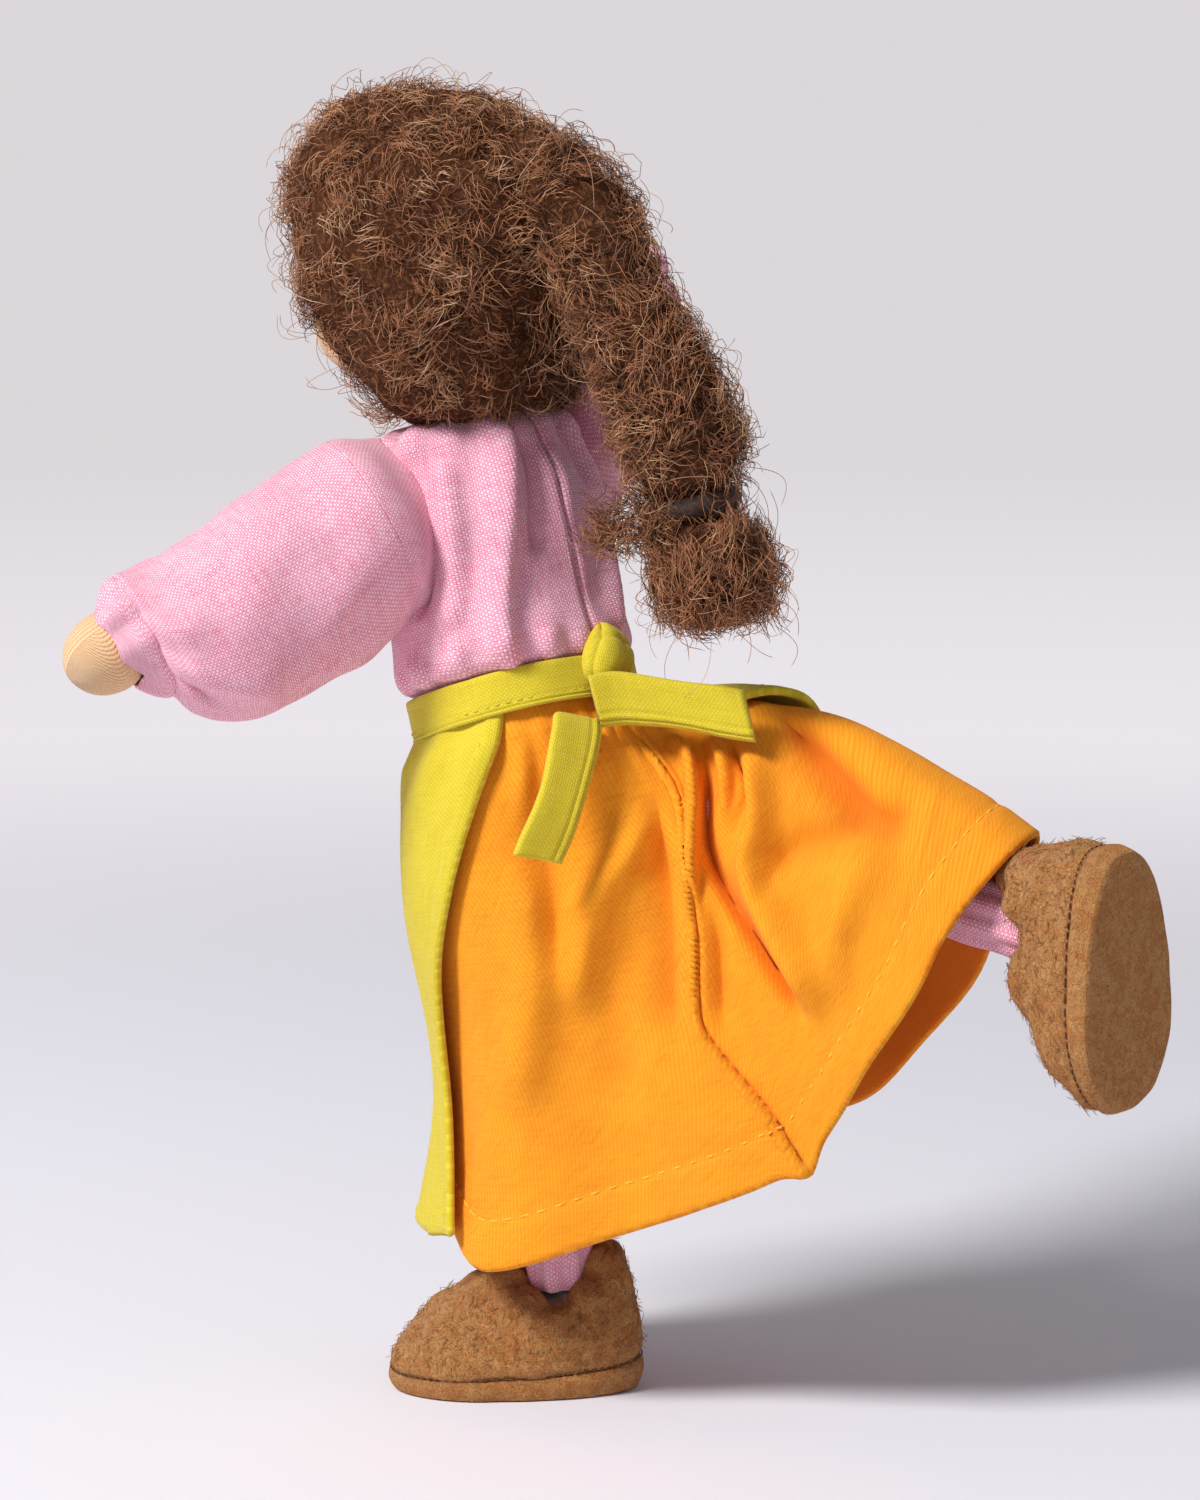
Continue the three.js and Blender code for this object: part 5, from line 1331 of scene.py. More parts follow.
class DollColours(bpy.types.PropertyGroup):
    thread_pitch: FloatProperty(
        name="Thread pitch", description="From one thread to the next", default=0.2 * MM, unit="LENGTH"
    )
    # The depth colours of the cottons and of the jersey are painted shade: between threads or wales, and
    # deep in folds and on inner faces where the cloth carries that shade.
    pink: colour("Pink", "Warp of the blouse and drawers", 244, 177, 201)
    pink_weft: colour("Pink weft", "Weft of the blouse and drawers", 255, 226, 238)
    pink_deep: colour("Pink depth", "Between the pink threads", 224, 104, 134)
    orange: colour("Orange", "Warp of the skirt", 245, 150, 16)
    orange_light: colour("Orange weft", "Weft of the skirt", 246, 169, 38)
    orange_deep: colour("Orange depth", "Between the orange threads", 214, 88, 8)
    yellow: colour("Yellow", "Warp of the apron", 214, 194, 32)
    yellow_light: colour("Yellow weft", "Weft of the apron", 226, 210, 64)
    yellow_deep: colour("Yellow depth", "Between the yellow threads", 196, 168, 14)
    felt: colour("Felt", "Shoes", 224, 140, 66)
    felt_light: colour("Felt light", "Pale fibres of the shoes", 246, 184, 112)
    felt_deep: colour("Felt depth", "Dark fibres of the shoes", 150, 82, 32)
    # Hair depth is painted shade between the curls and under the locks, and hair light a painted highlight
    # on their crests.
    hair: colour("Hair", "Middle tone of the mohair", 170, 113, 76)
    hair_light: colour("Hair light", "Crests of the curls", 228, 190, 148)
    hair_deep: colour("Hair depth", "Between the curls", 76, 44, 27)
    skin: colour("Skin", "Jersey of head and hands", 232, 188, 140)
    skin_light: colour("Skin light", "Raised loops of the jersey", 243, 206, 162)
    skin_deep: colour("Skin depth", "Between the wales of the jersey", 204, 146, 96)


class Maker(bpy.types.Operator):
    """Shared by the operators that make pieces."""

    bl_options = {"REGISTER", "UNDO"}

    def execute(self, context):
        self.make(context.scene.doll_sizes)
        return {"FINISHED"}


CORE_HALF, CORE_PITCH, CORE_GROOVE = (6.2, 4.8), 0.9, 0.18
CORE_SHARES = [
    # shares of the torso's length, then of the wool's half width and half depth
    [-0.2, 0.42, 0.45],
    [-0.12, 0.82, 0.8],
    [0.02, 0.95, 0.95],
    [0.3, 0.9, 0.95],
    [0.62, 0.98, 1],
    [0.84, 0.96, 0.9],
    [0.95, 0.62, 0.7],
]


class DOLL_OT_frame(Maker):
    """Gives the wires their steel, and winds wool round limbs, neck and torso"""

    bl_idname = "doll.frame"
    bl_label = "Wire and Wool"

    def make(self, sizes):
        for name, node in frame["nodes"].items():
            if name.endswith("_wire"):
                node.data.materials.clear()
                node.data.materials.append(finish_of("wire"))
        for side in SIDES:
            for name, start, end, radius in (
                ("upper_arm", SHOULDER[side], ELBOW[side], ARM_RADIUS),
                ("forearm", ELBOW[side], ELBOW[side] + ARM[side] * FOREARM, ARM_RADIUS),
                ("thigh", HIP[side], KNEE[side], LEG_RADIUS),
                ("shin", KNEE[side], ANKLE[side], LEG_RADIUS),
            ):
                limb = wound_limb(f"{side}_{name}_wool", start, end, radius)
                dress(limb, "wool", f"{side}_{name}", [f"{side}_{name}"])
        knots = [(0.85, 0.7), (0.9, 1.1), (1.5, 2.7), (2.2, 2.9), (4.9, 2.9), (5.0, 2.4)]
        rings, tone = wound_rings(NECK_ROOT, HEAD_CENTRE, knots, 28, 50)
        neck = dress(rounded("neck_wool", rings, tone=tone), "wool", "neck", ["neck"])
        share = np.linspace(CORE_SHARES[0][0], CORE_SHARES[-1][0], 110)[:, None]
        width, depth = table(share, CORE_SHARES)
        angle = circle(64)[None]
        # 0 in the grooves between turns, where the wool's finish paints shade.
        turn = np.abs(np.sin(np.pi * (share * TORSO_LENGTH / CORE_PITCH - angle / TURN)))
        groove = CORE_GROOVE * (1 - turn**0.7)
        core = torso_rings(share, CORE_HALF[0] * width - groove, CORE_HALF[1] * depth - groove, angle)
        torso = dress(rounded("torso_wool", core, tone=turn), "wool", "torso", ["torso"])


class DOLL_OT_head(Maker):
    """Makes the stuffed head, its stitched face and the thread that draws it in at the neck"""

    bl_idname = "doll.head"
    bl_label = "Head"

    def make(self, sizes):
        """A ball of jersey, fuller at the cheeks and jaw, with a soft rise for the nose. The thread that
        draws it in has two plies."""
        rise = np.linspace(-np.pi / 2 + 0.03, np.pi / 2 - 0.03, 80)[::-1, None]
        turn = circle(110)[None]
        way = from_back(np.cos(rise), turn, np.sin(rise))
        x, y, z = np.moveaxis(way, -1, 0)
        nose = 0.7 * bell(x, 0.1) * bell(z + 0.12, 0.12)
        cheeks = 0.16 * bell(np.abs(x) - 0.42, 0.2) * bell(z + 0.25, 0.22)
        grow = (nose + cheeks) * np.maximum(0, -y) - 0.5 * bell(z + 1, 0.12) + jaw(way)
        ball = way * (HEAD_SIZE + (grow + 0.06 * ripple(way * 11, 5, 3))[..., None])
        head = dress(rounded("head_jersey", placed(ball, HEAD)), "skin_cotton", "head", ["head"])
        self.face()
        ply = twisted(8, 96, thick=0.33, ridge=0.07, turns=24)
        tie = placed(thread_ring(NECK_THREAD_RADIUS, -HEAD_SIZE[2] - 0.2, ply), HEAD)
        dress(looped("neck_twist", tie), "skin_cotton", "head", ["neck_thread"])

    def face(self):
        """Eyes and mouth are satin stitches: level threads side by side that fill an ellipse."""
        for name, slot, spread, rise, wide, tall, droop, count in (
            ("left_eye", "dark_thread", 22, 2, 0.85, 0.85, 0, 9),
            ("right_eye", "dark_thread", -22, 2, 0.85, 0.85, 0, 9),
            ("mouth", "red_thread", 0, -24, 1.7, 0.42, 0.35, 5),
        ):
            h, p = np.radians((spread, rise))
            way = np.array([np.sin(h) * np.cos(p), -np.cos(h) * np.cos(p), np.sin(p)])
            out = unit(way / HEAD_SIZE**2)
            side = unit(np.cross(Z, out))
            up = np.cross(out, side)
            level = np.linspace(-0.9, 0.9, count)[:, None, None]
            reach = wide * np.sqrt(1 - level**2)
            t = np.linspace(-1, 1, 9)[None, :, None]
            high = level * tall + droop * (t * reach / wide) ** 2
            lines = way * HEAD_SIZE + side * t * reach + up * high + out * (0.1 + 0.28 * (1 - t**4))
            stitch = strands(name + "_satin", placed(lines, HEAD), 2.55 * tall / count, 0.6, 6)
            dress(stitch, slot, "head", [name])


class DOLL_OT_hair(Maker):
    """Makes the curly cap of hair, its tail with the tie and the tuft, and the loose strands"""

    bl_idname = "doll.hair"
    bl_label = "Hair"

    def make(self, sizes):
        rng = np.random.default_rng(71)
        reach = np.linspace(0.004, 1, 90)[:, None]
        turn = circle(150)[None]
        mid, way = scalp(turn + 0 * reach, reach + 0 * turn, 1.15)
        mid = mid + way * (0.4 * ripple(mid, 3.2, 8) + 0.1)[..., None]
        thick = 1.5 * smooth(reach, 1, 0.93) + 0.3 + 0 * turn
        cap = cloth("hair_base", placed(mid, HEAD), thick, tone=0.12 + 0 * thick)
        # The cap under the locks is a dark sheet of painted shade.
        dress(cap, "mohair", "head", ["hair"], "mohair_depth")
        self.cap_locks(rng, sizes)
        self.tail(rng, sizes)
        self.flyaways(rng)

    def split_locks(self, name, parts, lines, tone, sizes):
        """Locks in so many pieces, because one would have too many faces."""
        for k, part in enumerate(np.array_split(np.arange(len(lines)), parts)):
            piece = strands(f"{name}_locks_{k + 1}", lines[part], sizes.strand / MM, tone[part])
            dress(piece, "mohair", "head")

    def cap_locks(self, rng, sizes):
        """Locks over the scalp, thinned so that each has the same room, flowing back and down."""
        tries = 6 * sizes.locks
        turn = rng.uniform(0, TURN, tries)
        reach = np.sqrt(rng.uniform(0.0, 1, tries))
        spots, way = scalp(turn, reach, HAIR_DEPTH - 0.7)
        line = hairline(turn)
        room = np.sin(line * reach) * line / np.maximum(reach, 0.02)
        keep = rng.uniform(0, 1, tries) < room / room.max()
        spots, outs = spots[keep][: sizes.locks], unit(way[keep][: sizes.locks] / HEAD_SIZE)
        flows = hair_flows(rng, outs, np.array([0, 0.5, -0.7]), 0.9)
        lines, tone = locks(rng, spots, outs, flows, strands_each=23, length=3.8, spread=0.55, lift=0.1)
        self.split_locks("hair", 4, placed(lines, HEAD), tone, sizes)

    def tail(self, rng, sizes):
        """The tail and, past its tie, the tuft: dark lumpy cores with locks all over them. The tie is
        a thread of three plies."""
        for name, girths, node, count, wild, long, ends in (
            ("tail", TAIL_GIRTH, "ponytail", 280, 1.1, 4.0, (0, -0.03)),
            ("tuft", TUFT_GIRTH, "ponytail_tuft", 100, 0.6, 4.4, (0.03, 0)),
        ):
            first, last = girths[0][0], girths[-1][0]
            share = np.linspace(first, last, 90)
            angle = circle(60)
            girth = np.interp(share, *np.array(girths).T)[:, None] - 0.8 + 0 * angle
            rings, ring = tail_rings(share, girth, angle)
            rings = rings + ring * (0.45 * ripple(rings, 4.2, 9))[..., None]
            base = rounded(f"{name}_base", rings, tone=np.full(girth.shape, 0.12))
            # The tail's core is dark, as painted shade under its locks.
            dress(base, "mohair", "head", [node], "mohair_depth")
            spots, outs, way = self.on_tail(rng, count, first + ends[0], last + ends[1], girths, -0.7)
            flows = hair_flows(rng, outs, way, wild)
            lines, tone = locks(rng, spots, outs, flows, 19, long, spread=0.55, lift=0.05)
            if name == "tuft":
                end_lines, end_tone = self.tuft_ends(rng)
                lines, tone = np.concatenate([lines, end_lines]), np.concatenate([tone, end_tone]) + 0.06
            self.split_locks(name, 2, lines, tone, sizes)
        ply = 0.8 + 0.12 * np.abs(np.sin(1.5 * circle(10)[:, None] + 9 * circle(72)))
        turn = basis(heading_at(TAIL, np.array([TIE_SHARE])))[0]
        tie = placed(thread_ring(TIE_RADIUS, 0, ply), (turn, at(TAIL, TIE_SHARE)))
        dress(looped("hair_tie_thread", tie), "dark_thread", "head", ["hair_tie"])

    def on_tail(self, rng, count, first, last, girths, over):
        """Places at random on the tail, as far over its girth as asked, the way out there and along."""
        share, angle = rng.uniform(first, last, count), rng.uniform(0, TURN, count)
        turn = basis(heading_at(TAIL, share))
        outs = spokes(turn, angle)
        width = np.interp(share, *np.array(girths).T) + over
        return at(TAIL, share) + outs * width[:, None], outs, turn[..., 2]

    def tuft_ends(self, rng):
        """Locks that close the free end of the tuft, spread over a dome, and a wisp to its side."""
        count, wisp = 54, 30
        turn = basis(heading_at(TAIL, np.array([0.94]))[0])
        fall = np.sqrt(rng.uniform(0, 1, count)) * 1.35
        spin = rng.uniform(0, TURN, count)
        outs = np.cos(fall)[:, None] * turn[:, 2] + np.sin(fall)[:, None] * spokes(turn, spin)
        spots = at(TAIL, 0.915) + outs * 4.0 * np.maximum(np.sin(fall), 0.45)[:, None]
        side = unit(np.array([0.731, -0.682, 0.0]))
        along = rng.uniform(1.0, 8.0, wisp)[:, None]
        wisp_outs = unit(rng.normal(0, 1, (wisp, 3)) + np.array([0.6, 0.6, 0]))
        wisp_spots = at(TAIL, 0.79) + side * along + wisp_outs * (2.6 - 0.12 * along)
        flows = hair_flows(rng, outs, np.array([0.2, 0.3, -0.8]), 0.7)
        wisp_flows = hair_flows(rng, wisp_outs, side, 0.7)
        both = ([spots, wisp_spots], [outs, wisp_outs], [flows, wisp_flows])
        return locks(rng, *map(np.concatenate, both), strands_each=18, length=3.6, spread=0.6, lift=0.1)

    def flyaways(self, rng):
        """Thin loose strands: short arcs and open curls that stand off the head and the tail."""
        count, on_tail = 520, 360
        turn, reach = rng.uniform(0, TURN, count), np.sqrt(rng.uniform(0, 1, count))
        spots, way = scalp(turn, reach, HAIR_DEPTH - 0.4)
        girths = np.array(TAIL_GIRTH + TUFT_GIRTH) * [1, 0.9]
        tail_spots, tail_outs, _ = self.on_tail(rng, on_tail, 0.05, 1, girths, 0)
        spots = np.concatenate([placed(spots, HEAD), tail_spots])
        outs = np.concatenate([way @ HEAD[0].T, tail_outs])
        m = len(spots)
        flow = hair_flows(rng, outs, np.zeros(3), 1.0)
        side = np.cross(outs, flow)
        s = np.linspace(0, 1, 14)
        long = rng.uniform(1.5, 5.5, m)[:, None]
        swing = rng.uniform(0.5, 3.6, m)[:, None] * rng.choice([-1, 1], (m, 1))
        curl = rng.uniform(0.3, 1.5, m)[:, None]
        rise = curl * 1.5 * np.sin(np.pi * s * 0.9) + 0.25 * long * s * rng.uniform(-0.2, 1, (m, 1))
        lines = spots[:, None] + flow[:, None] * (long * s)[..., None] + outs[:, None] * rise[..., None]
        lines = lines + side[:, None] * (curl * np.sin(swing * s))[..., None]
        piece = strands("hair_flyaways", lines, 0.055, rng.uniform(0.35, 0.85, (m, 1)))
        dress(piece, "mohair", "head")


class DOLL_OT_blouse(Maker):
    """Makes the blouse with its shoulders, full sleeves and gathered cuffs"""

    bl_idname = "doll.blouse"
    bl_label = "Blouse"

    def make(self, sizes):
        thick = sizes.cloth / MM
        size = 100, 220
        grid, relief = blouse_grid(*size)
        laid = blouse_cut(*size)
        # Folds and the inner face carry painted shade.
        body = cloth("blouse_cotton", grid, thick, split=110, laid=laid, hollow=hollows(relief))
        dress(body, "pink_cotton", "torso", ["blouse"])
        declare_sheet(grid)
        for side in SIDES:
            self.sleeve(side, thick)
            self.cuff(side, thick)

    def sleeve(self, side, thick):
        """The shoulder cloth, and the sleeve from its seam to the cuff's thread."""
        yoke = yoke_grid(side, 26, 110)
        shoulder = cloth(f"{side}_shoulder_cotton", yoke, thick)
        dress(shoulder, "pink_cotton", None, [f"blouse_{side}_shoulder"])
        declare_sheet(yoke, 2.0)
        bend(shoulder, SHOULDER[side], ARM[side], -1, 4)
        size = 84, 160
        grid, relief = sleeve_grid(side, *size)
        laid = sleeve_cut(side, *size)
        # Folds and the inner face carry painted shade.
        sleeve = cloth(f"{side}_sleeve_cotton", grid, thick, laid=laid, hollow=hollows(relief))
        dress(sleeve, "pink_cotton", None, [f"{side}_sleeve"])
        declare_sheet(grid)
        bend(sleeve, ELBOW[side], ARM[side], -5, 5)

    def cuff(self, side, thick):
        """The sleeve's end past the thread that gathers it: rings that swell and then close on the hand
        as along squared, in uneven waves, with an edge longer in some places than in others."""
        wrist = SHOULDER[side] + ARM[side] * (UPPER_ARM + FOREARM - CUFF_GAP)
        turn = basis(ARM[side])
        along = np.linspace(0, 1, 20)[:, None]
        angle = circle(130)[None]
        waves = 0.3 * np.sin(7 * angle + 1.9 * np.sin(angle + 1) + 0.9 * np.sin(3 * angle))
        radius = CUFF_RADIUS + 0.5 * np.sin(np.pi * along**0.6) - 1.04 * along**2
        radius = radius + waves * (0.35 + 0.8 * np.sin(np.pi * along))
        length = CUFF_LENGTH + 0.5 * np.sin(2 * angle + 2) + 0.3 * np.sin(5 * angle)
        grid = wrist - Z * 0.33 * (1 - along)[..., None] + spokes(turn, angle) * radius[..., None]
        grid = grid + ARM[side] * (length * along - 0.25)[..., None]
        frill = cloth(f"{side}_cuff_frill", grid, thick * 0.9)
        dress(frill, "pink_cotton", f"{side}_forearm", [f"{side}_cuff"])
        ply = twisted(8, 120, thick=0.4, ridge=0.06, turns=30)
        tie = placed(thread_ring(CUFF_THREAD_RADIUS, 0.45, ply), (turn, wrist))
        dress(looped(f"{side}_cuff_twist", tie), "pink_cotton", f"{side}_forearm", [f"{side}_cuff_thread"])


class DOLL_OT_hands(Maker):
    """Makes the stuffed jersey hands"""

    bl_idname = "doll.hands"
    bl_label = "Hands"

    def make(self, sizes):
        """Ellipsoids centred in the frame's own hands, with shallow tucks towards the fingertips."""
        for side in SIDES:
            low, high = (np.array(p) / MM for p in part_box(f"{side}_hand"))
            rise = np.linspace(-np.pi / 2 + 0.04, np.pi / 2 - 0.04, 46)[:, None]
            turn = circle(64)[None]
            tuck = 0.05 * bell(rise - 1.3, 0.3) + 0.04 * np.abs(np.sin(2 * turn)) * smooth(rise, 0.9, 1.5)
            flat = np.cos(rise) * (1 - tuck)
            ball = spokes(np.eye(3), turn) * flat[..., None] + Z * np.sin(rise)[..., None]
            place = basis(ARM[side]), (low + high) / 2 - ARM[side]
            hand = rounded(f"{side}_hand_jersey", placed(ball * HAND_HALF, place))
            dress(hand, "skin_cotton", f"{side}_forearm", [f"{side}_hand"])


SEAT_HALF = [8.0, 6.6, 11.3]
SEAT_TOP_SHARE = 3.5 / 11.5
LEG_REACH, DRAWERS_RADIUS = (3.2, 43.4), 3.0


class DOLL_OT_drawers(Maker):
    """Makes the drawers: their seat, and a leg down to each shoe"""

    bl_idname = "doll.drawers"
    bl_label = "Drawers"

    def make(self, sizes):
        """The seat is the lower part of an ellipsoid, gathered at its band. Each leg is a tube with
        creases round it, gathered at the ankle."""
        thick = sizes.cloth / MM
        angle = circle(100)[None]
        fall = np.linspace(np.arcsin(SEAT_TOP_SHARE), np.pi / 2 - 0.2, 40)[:, None]
        shape = from_back(np.cos(fall), angle, -np.sin(fall)) * SEAT_HALF
        pucker = 0.2 * np.sin(15 * angle) * bell(fall - 0.3, 0.3)
        shape[..., :2] *= 1 + pucker[..., None] / SEAT_HALF[0]
        grid = placed(shape, PELVIS)
        seat = cloth("drawers_seat_cotton", grid, thick)
        dress(seat, "pink_cotton", "torso", ["drawers_seat"])
        declare_sheet(grid)
        for side, seed in zip(SIDES, (5, 6)):
            along = np.linspace(*LEG_REACH, 90)[:, None]
            turn = circle(80)[None]
            crease = 0.14 * np.sin(TURN * along / 5.5 + 2 * np.sin(turn + seed))
            crease = crease * (0.5 + 0.5 * np.sin(along / 4 + seed))
            gather = (0.2 * np.sin(8 * turn + np.sin(turn)) - 0.35) * smooth(along, 34, 41)
            ring = spokes(basis(LEG[side]), turn) * (DRAWERS_RADIUS + crease + gather)[..., None]
            grid = HIP[side] + LEG[side] * (along + 0 * turn)[..., None] + ring
            leg = cloth(f"{side}_drawers_cotton", grid, thick)
            dress(leg, "pink_cotton", None, [f"{side}_drawers_leg"])
            declare_sheet(grid)
            bend(leg, KNEE[side], LEG[side], -4, 4)


class DOLL_OT_skirt(Maker):
    """Makes the skirt, its band and its hem stitches"""

    bl_idname = "doll.skirt"
    bl_label = "Skirt"

    def make(self, sizes):
        thick = sizes.cloth / MM
        columns = 320
        grid, relief, drop = skirt_grid(105, columns)
        hem = 1 - sizes.hem / MM / SKIRT_LENGTH
        thickness = thick + 0.22 * smooth(drop, hem - 0.004, hem + 0.004)
        laid = skirt_base(skirt_shares(columns) + 0 * drop, drop)
        # Folds carry painted shade, and the inner face the full painted shade.
        skirt = cloth("skirt_cotton", grid, thickness, split=1, laid=laid, hollow=hollows(relief, 1.2))
        dress(skirt, "orange_cotton", None, ["skirt_left", "skirt_right"])
        declare_sheet(grid)
        bend_with_hip(skirt)
        self.hem_stitches(grid, hem, thick, sizes.stitch / MM)
        band = self.band(**SKIRT_BAND)
        dress(band, "orange_cotton", "torso", ["skirt_band"])

    def hem_stitches(self, grid, hem, thick, stitch):
        """Running stitches a fixed way apart round the skirt, where its hem is turned up."""
        count, columns = 96, grid.shape[1]
        steps = np.linalg.norm(np.roll(grid[-10], -1, 0) - grid[-10], axis=-1)
        gone = np.r_[0, np.cumsum(steps)] / steps.sum()
        start = np.interp((np.arange(count) + 0.5) / count, gone, np.arange(columns + 1) / columns)
        long = stitch / steps.sum()
        rows = np.full(count, hem)
        way = unit(on_grid(normals(grid), rows, start + long / 2))
        a, b = (on_grid(grid, rows, place) + way * thick / 2 for place in (start, start + long))
        line = stitches("skirt_hem_stitches", a, b, way, thick=0.2, lift=0.2)
        dress(line, "orange_cotton", None, finish="orange_thread")
        bend_with_hip(line)

    def band(self, radius, thick, height):
        """A plain band round the waist: a rounded strip carried round a circle."""
        t = circle(24)[:, None]
        across, up = (np.sign(wave) * np.abs(wave) ** 0.6 for wave in (np.cos(t), np.sin(t)))
        rings = from_back(radius - thick / 2 + across * thick / 2, circle(200), up * height / 2)
        return looped("skirt_band_cotton", placed(rings, PELVIS))


BAND_RADIUS, GROOVE = 9.7, -0.98
BAND_SECTION = [
    # out from the band's face, and height: a flat face, the stitched groove, and two ridges at the foot
    [-0.35, 1.75], [-0.08, 1.68], [0.0, 1.5], [-0.02, 0.6], [-0.02, -0.4], [-0.02, -0.85],
    [-0.07, GROOVE], [-0.02, -1.1], [0.04, -1.25], [-0.12, -1.38], [0.08, -1.52], [-0.02, -1.7],
    [-0.35, -1.75], [-0.7, -1.65], [-0.78, -1.4], [-0.78, 1.4], [-0.7, 1.65],
]
TIE_SECTION = [
    # across and out from a tie's middle: flat faces, with three layers showing at one edge
    [2.1, 0.0], [2.0, 0.38], [1.6, 0.48], [0.0, 0.46], [-1.0, 0.46], [-1.2, 0.36], [-1.36, 0.48],
    [-1.62, 0.5], [-1.76, 0.34], [-1.62, 0.16], [-1.95, 0.3], [-2.14, 0.14], [-1.95, -0.02],
    [-2.2, -0.12], [-2.3, -0.32], [-2.05, -0.5], [-1.0, -0.48], [1.6, -0.48], [2.0, -0.38],
]
KNOT_HALF, KNOT_PLACE = (2.5, 1.7, 2.7), [-0.9, 10.2, 1.5]
TIE_REACH = 11.5
TIE_ENDS = {
    # shares of a tie's reach from the waist, the way across the strip, and which face is out
    "tie_end_side": (
        [[0.16, 0.93, 0.1], [0.02, 1.02, 0.12], [-0.16, 1.24, 0.1], [-0.36, 1.53, 0.055],
         [-0.52, 1.81, 0.02]],
        [0.1, -0.25, 1],
        1,
    ),
    "tie_end_drop": (
        [[0.3, 0.9, -0.02], [0.36, 0.96, -0.1], [0.5, 1.04, -0.33], [0.68, 1.1, -0.63], [0.85, 1.08, -0.95]],
        [1, -0.35, 0.25],
        -1,
    ),
}


def closed_section(points, fine):
    """A smooth closed curve through a section's points, as 60 places evenly along it."""
    flat = np.c_[points, np.zeros(len(points))]
    return at(smooth_line(flat, True, fine), np.linspace(0, 1, 60, endpoint=False))[:, :2]


